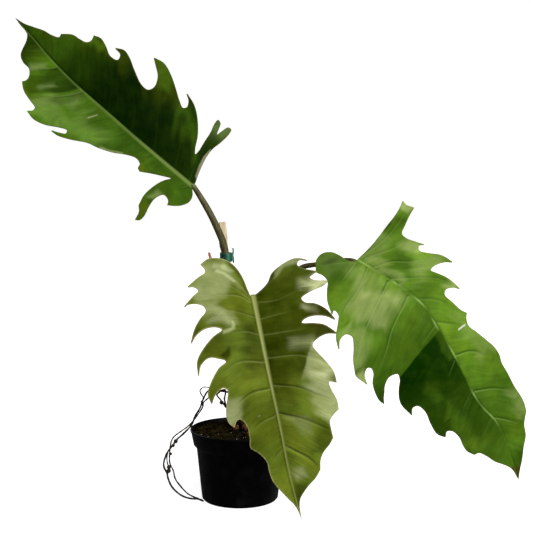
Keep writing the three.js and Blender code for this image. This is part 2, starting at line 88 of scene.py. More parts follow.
class Finish:
    # A principled material that is built up one node at a time
    def __init__(self, name):
        self.material = bpy.data.materials.new(name)
        self.material.use_nodes = True
        self.tree = self.material.node_tree
        self.shader = self.tree.nodes["Principled BSDF"]
        self.place = self.tree.nodes.new("ShaderNodeTexCoord").outputs["Object"]

    def add(self, kind, **settings):
        node = self.tree.nodes.new(kind)
        for key, value in settings.items():
            setattr(node, key, value)
        return node

    def join(self, source, target):
        self.tree.links.new(source, target)

    def stretched(self, scale, turn=(0, 0, 0), place=None):
        mapping = self.add("ShaderNodeMapping")
        mapping.inputs["Scale"].default_value = scale
        mapping.inputs["Rotation"].default_value = turn
        self.join(place or self.place, mapping.inputs["Vector"])
        return mapping.outputs["Vector"]

    def grain(self, scale, detail, roughness=0.55, vector=None):
        node = self.add("ShaderNodeTexNoise")
        node.inputs["Scale"].default_value = scale
        node.inputs["Detail"].default_value = detail
        node.inputs["Roughness"].default_value = roughness
        self.join(vector or self.place, node.inputs["Vector"])
        return node.outputs["Fac"]

    def cells(self, scale):
        node = self.add("ShaderNodeTexVoronoi")
        node.inputs["Scale"].default_value = scale
        self.join(self.place, node.inputs["Vector"])
        return node.outputs["Distance"]

    def attribute(self, name):
        return self.add("ShaderNodeAttribute", attribute_name=name).outputs["Fac"]

    def span(self, value, low, high, newLow=0.0, newHigh=1.0):
        node = self.add("ShaderNodeMapRange")
        for key, number in zip(("From Min", "From Max", "To Min", "To Max"), (low, high, newLow, newHigh)):
            node.inputs[key].default_value = number
        self.join(value, node.inputs["Value"])
        return node.outputs["Result"]

    # A noise pattern as numbers from least to most
    def swing(self, pattern, least, most):
        return self.span(pattern, *noiseSpread, least, most)

    def maths(self, operation, first, second):
        node = self.add("ShaderNodeMath", operation=operation)
        for socket, value in zip(node.inputs, (first, second)):
            if isinstance(value, float):
                socket.default_value = value
            else:
                self.join(value, socket)
        return node.outputs[0]

    def times(self, first, second):
        return self.maths("MULTIPLY", first, second)

    def blend(self, amount, first, second, how="MIX"):
        node = self.add("ShaderNodeMix", data_type="RGBA", blend_type=how)
        self.join(amount, node.inputs[0])
        for socket, value in ((node.inputs[6], first), (node.inputs[7], second)):
            if isinstance(value, tuple):
                socket.default_value = (*value, 1.0)
            else:
                self.join(value, socket)
        return node.outputs[2]

    def colour(self, source):
        self.join(source, self.shader.inputs["Base Color"])

    def bump(self, height, distance, strength, after=None):
        node = self.add("ShaderNodeBump")
        node.inputs["Strength"].default_value = strength
        node.inputs["Distance"].default_value = distance
        self.join(height, node.inputs["Height"])
        if after:
            self.join(after, node.inputs["Normal"])
        self.join(node.outputs["Normal"], self.shader.inputs["Normal"])
        return node.outputs["Normal"]

    def sockets(self, **values):
        for key, value in values.items():
            self.shader.inputs[key.replace("_", " ")].default_value = value


# A colour given as 0 to 255, with its sRGB curve taken out as the shader wants it
def linear(*channels):
    shares = [channel / 255 for channel in channels]
    return tuple(share / 12.92 if share <= 0.04045 else ((share + 0.055) / 1.055) ** 2.4
                 for share in shares)


# A skin whose noise runs from one colour to another. grain and bumpGrain are [scale, detail], and
# stretch and turn draw the grain out into fibres. bump is [depth, strength].
def grainFinish(name, form):
    finish = Finish(name)
    vector = finish.stretched(form["stretch"], form.get("turn", (0, 0, 0))) if "stretch" in form else None
    pattern = finish.grain(*form["grain"], vector=vector)
    low, high = form["spread"]
    finish.colour(finish.blend(finish.span(pattern, low, high), *(linear(*tone) for tone in form["tones"])))
    finish.sockets(Roughness=form["roughness"], Specular_IOR_Level=form["gloss"])
    if "bump" in form:
        finish.bump(finish.grain(*form["bumpGrain"]) if "bumpGrain" in form else pattern, *form["bump"])
    return finish.material


# Leaf finish: from a deep to a light green by tone, which carries painted light and shade as well as the
# leaf's own colour, then paler with painted sheen or browner where the blade is.
# Streaks are [scale across the veins, scale along them, detail], the other grains [scale, detail].
# A swing is what the least and the most of a grain do to the colour, and bumps are in metres.
leafSkin = {"fine": (60, 5, 3), "broad": (16, 2.5, 4), "streakRoughness": 0.6,
            "cloud": (50, 5), "mottle": (70, 5), "warm": (34, 4), "patch": (90, 4), "dull": (60, 3),
            "cloudSwing": (0.78, 1.22), "fineSwing": (0.91, 1.09), "broadSwing": (0.85, 1.15),
            "warmSpread": (0.42, 0.68), "patchSpread": (0.3, 0.65), "patchSwing": (0.82, 1.06),
            "patchStreak": (0.9, 1.05), "roughness": (0.36, 0.52), "sheen": (0.8, 0.9, 0.45, 1),
            "ripple": (0.0005, 0.4), "poreScale": 700, "pore": (0.00025, 0.3)}


def leafFinish(name, tints):
    finish = Finish(name)
    drawing = finish.add("ShaderNodeUVMap", uv_map="drawing").outputs["UV"]

    def streaks(acrossVeins, alongVeins, detail):
        vector = finish.stretched((acrossVeins, alongVeins, 1), place=drawing)
        return finish.grain(1, detail, leafSkin["streakRoughness"], vector)

    fine, broad = streaks(*leafSkin["fine"]), streaks(*leafSkin["broad"])
    depth = finish.attribute("tone")
    for pattern, effect in ((finish.grain(*leafSkin["cloud"]), "cloudSwing"), (fine, "fineSwing"),
                            (broad, "broadSwing")):
        depth = finish.times(depth, finish.swing(pattern, *leafSkin[effect]))
    mottle = tints["mottle"]
    for pattern, reach in ((broad, mottle / 2), (finish.grain(*leafSkin["mottle"]), mottle)):
        depth = finish.maths("ADD", depth, finish.swing(pattern, -reach, reach))
    tones = {kind: linear(*tints[kind]) for kind in ("deep", "light", "paleAndSheen", "brown", "vein", "mark", "hem")}
    base = finish.blend(depth, tones["deep"], tones["light"])
    warmth = finish.span(finish.grain(*leafSkin["warm"]), *leafSkin["warmSpread"])
    base = finish.blend(warmth, base, tints["warm"], "MULTIPLY")
    streak = tints["streak"]
    low, high = leafSkin["patchStreak"]
    patchy = finish.times(
        finish.span(finish.grain(*leafSkin["patch"]), *leafSkin["patchSpread"], *leafSkin["patchSwing"]),
        finish.swing(broad, low - streak, high + streak))
    patchy = finish.times(patchy, finish.swing(fine, 1 - streak, 1 + streak))
    # Pale patches and a painted sheen, where a glossy stretch would catch the light, are laid over the base.
    for kind in ("paleAndSheen", "brown"):
        base = finish.blend(finish.times(finish.attribute(kind), patchy), base, tones[kind])
    for kind in ("vein", "mark", "hem"):
        base = finish.blend(finish.attribute(kind), base, tones[kind])
    finish.colour(base)
    dull = finish.swing(finish.grain(*leafSkin["dull"]), *leafSkin["roughness"])
    finish.join(dull, finish.shader.inputs["Roughness"])
    ripples = finish.bump(fine, *leafSkin["ripple"])
    finish.bump(finish.cells(leafSkin["poreScale"]), *leafSkin["pore"], after=ripples)
    finish.sockets(Specular_IOR_Level=tints["gloss"], Specular_Tint=leafSkin["sheen"])
    return finish.material


# Lines and ramps

tiny = 1e-6  # keeps a division from a length of nothing
farAway = 1e9


def unit(vectors):
    return vectors / np.linalg.norm(vectors, axis=-1, keepdims=True)


# From 0 to 1 with a soft start and end
def ease(t):
    return t * t * (3 - 2 * t)


# 1 in the middle, falling to nothing past the width. A higher power gives a flatter top.
def bell(distance, width, power=2):
    return np.exp(-((distance / width) ** power))


# A centripetal line through points, with perSpan steps between neighbours
def smoothLine(points, perSpan):
    given = np.array(points, float)
    padded = np.vstack([2 * given[0] - given[1], given, 2 * given[-1] - given[-2]])
    line = []
    for i in range(1, len(padded) - 2):
        before, start, end, after = padded[i - 1:i + 3]
        first, middle, last = (max(math.sqrt(np.linalg.norm(b - a)), tiny)
                               for a, b in ((before, start), (start, end), (end, after)))
        leave = (start - before) / first - (end - before) / (first + middle) + (end - start) / middle
        arrive = (end - start) / middle - (after - start) / (middle + last) + (after - end) / last
        leave, arrive = leave * middle, arrive * middle
        for t in np.arange(perSpan) / perSpan:
            line.append(start + leave * t + (3 * (end - start) - 2 * leave - arrive) * t * t
                        + (2 * (start - end) + leave + arrive) * t ** 3)
    line.append(given[-1])
    return np.array(line)


# The value at x between knots of [place, value]
def ramp(knots, x):
    places, values = (np.array(column, float) for column in zip(*knots))
    index = np.clip(np.searchsorted(places, x) - 1, 0, len(places) - 2)
    t = np.clip((x - places[index]) / (places[index + 1] - places[index]), 0, 1)
    return values[index] + (values[index + 1] - values[index]) * ease(t)


# How far points lie from a line in the plane, how far along it, from 0 to 1, the nearest place is,
# and which hand of the line they are on, as 1 or -1
def nearLine(points, line):
    best = np.full(len(points), farAway)
    share = np.zeros(len(points))
    hand = np.zeros(len(points))
    for i, (start, end) in enumerate(zip(line[:-1], line[1:])):
        step = end - start
        t = np.clip((points - start) @ step / max(step @ step, tiny ** 2), 0, 1)
        reach = points - start - t[:, None] * step
        away = np.linalg.norm(reach, axis=1)
        closer = away < best
        best[closer] = away[closer]
        share[closer] = (i + t[closer]) / (len(line) - 1)
        hand[closer] = np.sign(step[0] * reach[closer, 1] - step[1] * reach[closer, 0])
    return best, share, hand


# Pieces

def linkPiece(name, mesh, materials, nodes=()):
    piece = linkObject(name, mesh)
    for material in materials:
        mesh.materials.append(material)
    mesh.shade_smooth()
    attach(piece, "root")
    if nodes:
        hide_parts(*nodes)
    return piece


weldWithin = 1e-6  # metres


# One mesh of round tubes, each a line of points with its radii
def tubeMesh(name, tubes, roundness):
    data = bpy.data.curves.new(name, "CURVE")
    data.dimensions = "3D"
    data.bevel_depth = mm
    data.bevel_resolution = roundness
    data.use_fill_caps = True
    for points, radii in tubes:
        spline = data.splines.new("POLY")
        spline.points.add(len(points) - 1)
        for target, point, radius in zip(spline.points, points, radii):
            target.co = (*(Vector(point) * mm), 1)
            target.radius = radius
    holder = linkObject(name, data)
    mesh = bpy.data.meshes.new_from_object(holder.evaluated_get(bpy.context.evaluated_depsgraph_get()))
    bpy.data.objects.remove(holder)
    bm = bmesh.new()
    bm.from_mesh(mesh)
    bmesh.ops.remove_doubles(bm, verts=bm.verts, dist=weldWithin)
    bmesh.ops.recalc_face_normals(bm, faces=bm.faces)
    bm.to_mesh(mesh)
    bm.free()
    mesh.name = name
    return mesh


# Leaves. Each blade is drawn flat, as [along the midrib, out from it], cut into a fine grid and
# laid on its bent surface. forward, up and right follow the midrib. fold, in degrees, droop, in
# degrees for each 100 mm, and wave bend each half, and a crease runs forward by lean as it runs
# out. A tooth wider than the angle whose cosine is wideCosine keeps its point, and the narrower
# one is, the blunter its end. Swell and grooves fade out towards the margin and the midrib.
bladeForm = {"spineSteps": 80, "marginSteps": 6, "veinSteps": 8, "leastHalf": 0.3, "cuts": 3,
             "onLine": 1e-4, "weld": 0.02, "thickness": 0.9,
             "calm": 0.5, "lean": 0.3, "waveReach": 42,
             "toothReach": 0.5, "toothWidth": 0.7, "wideCosine": -0.5,
             "quilt": 0.5, "quiltReach": 7, "groove": 0.8, "grooveWidth": 1.5, "calmEdge": 6, "calmRib": 5,
             "veinShow": 0.5, "veinWidth": 0.65, "shade": 0.7, "shadeOff": 1.6, "shadeWidth": 1.3,
             "bandFlatness": 4, "ribShadeWidth": 1.1, "hemWidth": 0.8, "drift": 0.7,
             "driftGrain": (0.11, 0.035), "halvesApart": 400, "drawingScale": 100,
             "ribShare": 0.97, "ribSteps": 90, "ribRoundness": 5}
sides = {"left": -1, "right": 1}


# A ramp of the half that each place is on
def halfRamp(leaf, key, onLeft, along):
    return np.where(onLeft, ramp(leaf["left"][key], along), ramp(leaf["right"][key], along))


class Blade:
    def __init__(self, leaf):
        self.leaf = leaf
        self.line = smoothLine(leaf["spine"], bladeForm["spineSteps"])
        self.runs = np.concatenate([[0], np.cumsum(np.linalg.norm(np.diff(self.line, axis=0), axis=1))])
        self.length = self.runs[-1]
        self.chord = unit(self.line[-1] - self.line[0])
        self.tangents = unit(np.gradient(self.line, self.runs, axis=0))

    def follow(self, values, along):
        return np.stack([np.interp(along, self.runs, values[:, k]) for k in range(3)], 1)

    # Points of the surface, and the way its upper side looks, at along and across, which is
    # negative on the left half. lift raises each point from the surface.
    def lay(self, along, across, lift=0.0):
        leaf = self.leaf
        held = np.clip(along, 0, self.length)
        t = (held / self.length)[:, None]
        calm = bladeForm["calm"]
        forward = unit(self.follow(self.tangents, held) * (1 - calm) + self.chord * calm)
        base, middle, tip = (np.array(facing, float) for facing in leaf["facing"])
        up = base * (1 - t) * (1 - 2 * t) + middle * 4 * t * (1 - t) + tip * t * (2 * t - 1)
        up = unit(up - forward * np.sum(up * forward, axis=1, keepdims=True))
        right = np.cross(forward, up)
        out = np.abs(across)
        onLeft = across < 0
        fold = np.radians(halfRamp(leaf, "fold", onLeft, along - bladeForm["lean"] * out))
        bend = np.radians(np.where(onLeft, leaf["left"]["droop"], leaf["right"]["droop"])) / 100
        sideways = (np.sin(fold) - np.sin(fold - bend * out)) / bend
        waving = leaf["wave"]["height"] * (1 - bell(out, bladeForm["waveReach"]))
        start = np.where(onLeft, *leaf["wave"]["start"])
        rise = ((np.cos(fold - bend * out) - np.cos(fold)) / bend
                + waving * np.sin(along / leaf["wave"]["length"] * 2 * np.pi + start))
        points = self.follow(self.line, held) + forward * np.minimum(along, 0)[:, None]
        points = points + right * (np.sign(across) * sideways)[:, None] + up * (rise + lift)[:, None]
        return points, up

    # The two corners of a tooth's blunt end: the sharper the tooth, the further they are
    # carried out past its given point and the wider apart they stand.
    def toothEnd(self, before, point, after):
        inward = unit(np.array([before - point, after - point]))
        axis = -unit(inward[0] + inward[1])
        aside = np.array([-axis[1], axis[0]])
        aside = aside * np.sign(aside @ inward[0])
        wide = bladeForm["wideCosine"]
        sharpness = max(inward[0] @ inward[1] - wide, 0) / (1 - wide)
        tip = point + axis * bladeForm["toothReach"] * sharpness
        half = aside * bladeForm["toothWidth"] * sharpness
        return tip + half, tip - half

    def margin(self, side):
        rows = [np.array(row, float) for row in self.leaf[side]["margin"]]
        line = [rows[0][0]]
        for row, following in zip(rows, rows[1:] + [None]):
            course = row if row is rows[0] else np.concatenate([line[-1:], row])
            if following is not None:
                course[-1], corner = self.toothEnd(course[-2], course[-1], following[0])
            line.extend(smoothLine(course, bladeForm["marginSteps"])[1:])
            if following is not None:
                line.append(corner)
        line = np.array(line)
        line[:, 1] = np.maximum(line[:, 1], bladeForm["leastHalf"]) * sides[side]
        return line

    def veinLines(self, side):
        return [(strength, smoothLine(course, bladeForm["veinSteps"]) * (1, sides[side]))
                for strength, course in self.leaf[side]["veins"]]


def flatBlade(blade, cell, cuts):
    flat = bmesh.new()
    for side in sides:
        outline = [(0, 0), (blade.length, 0), *blade.margin(side)[:-1][::-1]]
        corners = [flat.verts.new((along, -across, 0)) for along, across in outline]
        edges = [flat.edges.new(pair) for pair in zip(corners, corners[1:] + corners[:1])]
        bmesh.ops.contextual_create(flat, geom=edges)
    low = [min(v.co[k] for v in flat.verts) for k in (0, 1)]
    high = [max(v.co[k] for v in flat.verts) for k in (0, 1)]
    for k in (0, 1):
        normal = Vector((1 - k, k, 0))
        for step in range(math.floor(low[k] / cell) + 1, math.ceil(high[k] / cell)):
            bmesh.ops.bisect_plane(flat, geom=[*flat.verts, *flat.edges, *flat.faces],
                                   dist=bladeForm["onLine"], plane_co=normal * step * cell, plane_no=normal)
    bmesh.ops.remove_doubles(flat, verts=flat.verts, dist=bladeForm["weld"])
    bmesh.ops.triangulate(flat, faces=[face for face in flat.faces if len(face.verts) > 4])
    if cuts:
        bmesh.ops.subdivide_edges(flat, edges=flat.edges, cuts=cuts, use_grid_fill=True)
    bmesh.ops.reverse_faces(flat, faces=[face for face in flat.faces if face.normal.z < 0])
    return meshFrom(flat, "blade")


# How much a soft-edged zone, drawn as an outline, holds each place: 0 outside to 1 inside
def zoneHold(places, outline, soft):
    ring = np.array([*outline, outline[0]], float)
    away = nearLine(places, ring)[0]
    inside = np.zeros(len(places), bool)
    for (x0, y0), (x1, y1) in zip(ring[:-1], ring[1:]):
        crosses = (y0 > places[:, 1]) != (y1 > places[:, 1])
        with np.errstate(divide="ignore", invalid="ignore"):
            reach = x0 + (places[:, 1] - y0) / (y1 - y0) * (x1 - x0)
        inside ^= crosses & (places[:, 0] < reach)
    return ease(np.clip(np.where(inside, away, -away) / soft + 0.5, 0, 1))


# The tone, paleness, browning and marks of each place, from the halves' ramps and the zones. Tone here holds
# painted light and shade as well as the leaf's own colour.
def bladeTints(leaf, places, drift):
    onLeft = places[:, 1] < 0
    tints = {"tone": halfRamp(leaf, "tone", onLeft, places[:, 0])}
    tints.update((kind, np.zeros(len(places))) for kind in ("paleAndSheen", "brown", "mark"))
    for kind, soft, amounts, outline in leaf["zones"]:
        hold = zoneHold(places + drift * soft, outline, soft)
        hold = hold * (onLeft == (np.mean([point[1] for point in outline]) < 0))
        if isinstance(amounts, list):
            amounts = ramp(amounts, places[:, 0])
        tints[kind] = tints[kind] + hold * amounts
    return {kind: np.clip(values, 0, 1) for kind, values in tints.items()}


# What the veins do at each place: their show, how far the nearest is and on which hand, and the
# place on the midrib that the streak through here comes from
def veinField(blade, places):
    field = {key: np.zeros(len(places)) for key in ("show", "away", "hand", "course")}
    for side, onSide in (("left", places[:, 1] <= 0), ("right", places[:, 1] > 0)):
        spots = places[onSide]
        veins = blade.veinLines(side)
        found = [nearLine(spots, line) for _, line in veins]
        away = np.array([entry[0] for entry in found])
        order = np.argsort(away, axis=0)
        pick = np.arange(len(spots))
        nearest, second = away[order[0], pick], away[order[1], pick]
        show = np.array([strength * (1 - entry[1] ** 2) for (strength, _), entry in zip(veins, found)])
        hand = np.array([entry[2] for entry in found]) * sides[side]
        origin = np.array([line[0][0] for _, line in veins])
        field["away"][onSide] = nearest
        field["show"][onSide] = show[order[0], pick]
        field["hand"][onSide] = hand[order[0], pick]
        field["course"][onSide] = ((origin[order[0]] * second + origin[order[1]] * nearest)
                                   / np.maximum(nearest + second, tiny))
    return field


# The pale band over the midrib, its own paler colour with a painted highlight on the lit flank where shift
# sets it off the middle, and the painted shade line beside it. knots are the places, with their reach, where
# a broken band shows.
def midribBand(leaf, places, length):
    form = leaf["band"]
    along, across = places.T
    half = form["wide"] + (form["thin"] - form["wide"]) * np.clip(along / length, 0, 1)
    aside = across - ramp(form["shift"], along)
    show = form["show"] * ramp(form["fade"], along)
    if "knots" in form:
        show = show * np.clip(sum(bell(along - knot, reach) for knot, reach in form["knots"]), 0, 1)
    ribShade = form["ribShade"] * bell(aside - form["dark"] * (half + 1), bladeForm["ribShadeWidth"])
    return show * bell(aside, half, bladeForm["bandFlatness"]) * (along > 0), ribShade * (along > 0)


def makeBlade(name, leaf, node, materials):
    blade = Blade(leaf)
    mesh = flatBlade(blade, leaf["cell"], bladeForm["cuts"])
    flat = np.zeros(len(mesh.vertices) * 3)
    mesh.vertices.foreach_get("co", flat)
    places = flat.reshape(-1, 3)[:, :2] * (1, -1)
    along, across = places.T
    veins = veinField(blade, places)
    edgeAway = np.full(len(places), farAway)
    for side, onSide in (("left", across <= 0), ("right", across > 0)):
        edgeAway[onSide] = nearLine(places[onSide], blade.margin(side))[0]
    inside = np.clip(edgeAway / bladeForm["calmEdge"], 0, 1) * (1 - bell(across, bladeForm["calmRib"]))
    swell = bladeForm["quilt"] * veins["show"] * (1 - bell(veins["away"], bladeForm["quiltReach"])) * inside
    groove = bladeForm["groove"] * veins["show"] * bell(veins["away"], bladeForm["grooveWidth"]) * inside
    points, _ = blade.lay(along, across, swell - groove)
    mesh.vertices.foreach_set("co", (points * mm).ravel())

    hand = np.sign(across)
    drawn = np.stack([veins["course"] + bladeForm["halvesApart"] * (hand > 0), np.abs(across)], 1)
    corners = np.zeros(len(mesh.loops), int)
    mesh.loops.foreach_get("vertex_index", corners)
    drawing = mesh.uv_layers.new(name="drawing")
    drawing.data.foreach_set("uv", (drawn[corners] / bladeForm["drawingScale"]).ravel())
    spots = drawn * bladeForm["driftGrain"]
    drift = np.array([noise.noise_vector(Vector((*spot, 0)))[:2] for spot in spots]) * bladeForm["drift"]
    values = bladeTints(leaf, places, drift)
    line = bladeForm["veinShow"] * veins["show"] * bell(veins["away"], bladeForm["veinWidth"])
    band, ribShade = midribBand(leaf, places, blade.length)
    values["vein"] = np.maximum(line, band)
    # Painted shade: a dark line along one side of each vein's groove and beside the midrib band darkens the
    # tone.
    lee = veins["away"] * veins["hand"] - bladeForm["shadeOff"]
    shade = bladeForm["shade"] * veins["show"] * bell(lee, bladeForm["shadeWidth"])
    values["tone"] = values["tone"] * (1 - np.maximum(shade, ribShade))
    values["hem"] = np.where(across < 0, *leaf["hem"]) * bell(edgeAway, bladeForm["hemWidth"])
    for key, numbers in values.items():
        attribute = mesh.attributes.new(key, "FLOAT", "POINT")
        attribute.data.foreach_set("value", numbers.astype(np.float32))
    mesh.name = name
    piece = linkPiece(name, mesh, materials, [node])
    skin = piece.modifiers.new("skin", "SOLIDIFY")
    skin.thickness = bladeForm["thickness"] * mm
    skin.offset = 0
    skin.material_offset = 1
    print(name, "has", len(mesh.polygons), "faces")
    return blade


def makeRib(name, leaf, blade, material):
    along = np.linspace(0, blade.length * bladeForm["ribShare"], bladeForm["ribSteps"])
    thick, thin = leaf["rib"]
    radii = thick + (thin - thick) * np.sqrt(along / along[-1])
    points, up = blade.lay(along, np.zeros_like(along))
    course = points - up * (radii * leaf["sunk"])[:, None]
    linkPiece(name, tubeMesh(name, [(course, radii)], bladeForm["ribRoundness"]), [material])


# A half's tone ramp and the tone zones hold the leaf's own colour and also painted light and shade: a half
# turned from the light, or the blade past a crease, gets a darker tone as painted shade, and lit patches a
# lighter one as painted light. The pale zones are pale patches and painted sheen.
upperLeaf = {
    "cell": 4, "rib": (2.3, 0.7), "sunk": 0.85, "hem": (0.3, 0.5),
    "band": {"wide": 3, "thin": 0.5, "show": 0.95, "dark": 1, "ribShade": 0.7,
             "shift": [(0, -2), (60, -1.8), (100, -2.3), (140, -2.2), (180, -1.8), (220, -1.4), (260, 0)],
             "fade": [(0, 1), (60, 0.85), (100, 0.5), (140, 0.4), (220, 0.36), (260, 0.5), (290, 0.4)]},
    "spine": [(-54, -8, 377), (-103, -22, 419), (-142, -28, 454), (-194, -23, 500), (-231, -11, 538),
              (-263, 5, 573)],
    "facing": [(0.15, -0.93, 0.34), (0.12, -0.96, 0.25), (0, -0.99, 0.1)],
    "wave": {"height": 2.5, "length": 62, "start": (0, 2)},
    "left": {
        "fold": [(0, 18), (150, 20), (293, 12)], "droop": 25,
        "tone": [(-10, 0.28), (40, 0.28), (90, 0.23), (125, 0.3), (160, 0.42), (190, 0.48), (215, 0.45),
                 (245, 0.2)],
        "margin": [
            [[0, 3.4], [-7, 12], [-9, 21], [-5, 31], [1, 38], [8, 43]],
            [[11, 38], [19, 36], [24, 47], [23, 59], [20, 72], [21, 78.5], [25, 81]],
            [[28, 71], [33, 65]],
            [[36, 51], [34, 33], [30, 21], [26, 13.5]],
            [[37, 19], [47, 25], [57, 32]],
            [[61, 30], [63, 24], [70, 22], [79, 26], [93, 36], [109, 43.5], [119, 47], [135, 58],
             [147, 63.5], [156, 63.5]],
            [[149, 60], [143, 56], [145, 52], [153, 55], [167, 63], [180, 67], [190, 65]],
            [[187, 60], [188, 56], [197, 54], [210, 51], [221, 44.5]],
            [[219, 40], [221, 34], [229, 28], [240, 28], [249, 24], [259, 8], [265, 2.4], [271, 1],
             [282, 1], [293, 0]],
        ],
        "veins": [(0, [(272, 1), (278, 3)]), (0.9, [(208, 1), (214, 12), (227, 25)]),
                  (0.9, [(167, 3), (173, 16), (183, 30), (200, 46)]),
                  (0.15, [(134, 2), (141, 27), (155, 48)]), (0.2, [(98, 2), (106, 20), (120, 36)]),
                  (0.35, [(60, 2), (67, 16)]), (0.3, [(24, 3), (32, 18)]), (0.4, [(4, 5), (12, 20)]),
                  (0.25, [(236, 1), (243, 10), (250, 17)])],
    },
    "right": {
        "fold": [(0, 18), (150, 24), (293, 14)], "droop": 30,
        # Painted shade: this half, turned from the light, is given a much darker tone.
        "tone": [(0, 0.07), (40, 0.03), (80, 0.01), (150, 0.02), (190, 0.13), (230, 0.3)],
        "margin": [
            [[0, 3.4], [5, 16], [10, 34], [11, 48], [9, 60], [8, 75], [9.5, 82], [14, 82], [17, 72],
             [18.5, 66], [21, 72.5], [24, 80], [29, 81.5], [29, 74], [26, 63], [24, 48], [22, 37]],
            [[22.5, 30], [27, 35], [35, 49], [48, 63], [62, 73], [77, 78]],
            [[71, 73], [67, 65], [70, 61.5], [79, 66], [91, 73.5], [106, 81], [120.5, 85], [132, 82]],
            [[125, 76], [115, 68], [110, 57], [113, 49], [122, 48.5], [138, 56], [153, 64], [163, 66],
             [171, 60.5]],
            [[163, 59], [161, 52.5], [170, 50], [182, 55], [193, 57.5], [202, 54.5]],
            [[200, 48], [203, 43], [212, 40], [222, 37.5], [233, 28]],
            [[232, 24], [241, 19], [252, 16], [267, 9], [278, 4], [293, 0]],
        ],
        "veins": [(0.2, [(8, 2), (14, 20), (20, 44), (26, 66)]), (0.1, [(30, 2), (42, 24), (60, 52)]),
                  (0.07, [(62, 2), (78, 26), (104, 58)]), (0.07, [(96, 2), (110, 24), (134, 42)]),
                  (0.07, [(130, 2), (144, 24), (166, 46)]), (0.07, [(164, 2), (176, 20), (196, 40)]),
                  (0.1, [(196, 2), (206, 16), (222, 30)]), (0.12, [(226, 1), (234, 10), (246, 16)])],
    },
    "zones": [
        ("tone", 20, 0.24, [(104, -30), (150, -30), (196, -34), (206, -64), (150, -70), (108, -48)]),
        ("paleAndSheen", 18, 0.1, [(104, -26), (150, -22), (160, -60), (108, -48)]),
        ("paleAndSheen", 10, 0.12, [(150, -40), (186, -30), (196, -58), (184, -62), (156, -54)]),
        ("paleAndSheen", 9, 0.16, [(156, -12), (164, -12), (167, -28), (158, -28)]),
        ("tone", 10, -0.16, [(160, -4), (168, -6), (180, -28), (200, -46), (206, -60), (186, -56),
                             (166, -30)]),
        ("paleAndSheen", 10, 0.1, [(160, -6), (168, -8), (180, -28), (198, -46), (202, -58), (186, -54), (166, -30)]),
        ("tone", 14, 0.1, [(52, -14), (72, -14), (72, -30), (56, -28)]),
        ("tone", 14, 0.08, [(92, -14), (112, -14), (112, -34), (92, -34)]),
        ("mark", 1, 0.6, [(134.3, -13), (135.2, -12.6), (140, -24), (138.8, -24.6)]),
        # Painted shade: the blade past this vein turns from the light and is darkened.
        ("tone", 5, [(170, -0.38), (200, -0.3), (214, -0.18)],
         [(170, 0), (176, -14), (186, -30), (202, -47), (214, -44), (220, -34), (212, -22), (207, 0)]),
        ("brown", 14, 0.2, [(190, -30), (216, -30), (216, -52), (196, -56)]),
        ("paleAndSheen", 7, 0.3, [(191, -20), (195, -20), (203, -34), (197, -34)]),
        ("tone", 5, [(208, 0.2), (225, 0.05), (250, -0.12)],
         [(209, 0), (216, -14), (230, -30), (258, -26), (290, 0)]),
        ("brown", 14, 0.15, [(222, -4), (250, -2), (256, -18), (232, -28)]),
        ("paleAndSheen", 8, 0.3, [(214, -12), (219, -10), (234, -26), (224, -28)]),
        ("tone", 8, 0.12, [(2, -24), (12, -22), (14, -44), (-2, -44)]),
        ("tone", 10, -0.12, [(14, -50), (28, -48), (32, -84), (16, -84)]),
        ("brown", 10, 0.55, [(14, -56), (28, -54), (32, -84), (16, -84)]),
        ("brown", 4, 0.8, [(54, -23), (61, -22), (63, -36), (54, -34)]),
        ("paleAndSheen", 8, 0.35, [(24, -36), (31, -34), (31, -48), (25, -46)]),
        ("paleAndSheen", 3, 0.55, [(85, -27.5), (96, -35), (106, -40.5), (108, -48), (84, -38)]),
        ("tone", 28, 0.24, [(26, 34), (40, 30), (62, 44), (76, 72), (60, 74), (36, 56)]),
        ("brown", 24, 0.25, [(60, 60), (92, 50), (112, 44), (140, 82), (100, 86), (70, 78)]),
        ("tone", 10, 0.3, [(92, 66), (108, 62), (138, 82), (132, 90), (100, 84)]),
        ("brown", 24, 0.25, [(146, 48), (200, 40), (262, 8), (256, 20), (206, 62), (150, 70)]),
        ("tone", 12, 0.36, [(178, 48), (206, 44), (206, 58), (182, 64)]),
        ("tone", 8, 0.14, [(6, 46), (26, 48), (32, 86), (6, 86)]),
        ("paleAndSheen", 20, 0.2, [(6, 62), (32, 62), (32, 92), (6, 92)]),
        ("tone", 8, -0.12, [(6, 46), (26, 48), (32, 66), (6, 66)]),
        ("mark", 1.5, 0.5, [(0, 6), (4, 16), (8, 30), (10, 44), (12.5, 46), (13.5, 34), (11, 22), (6, 10)]),
    ],
}

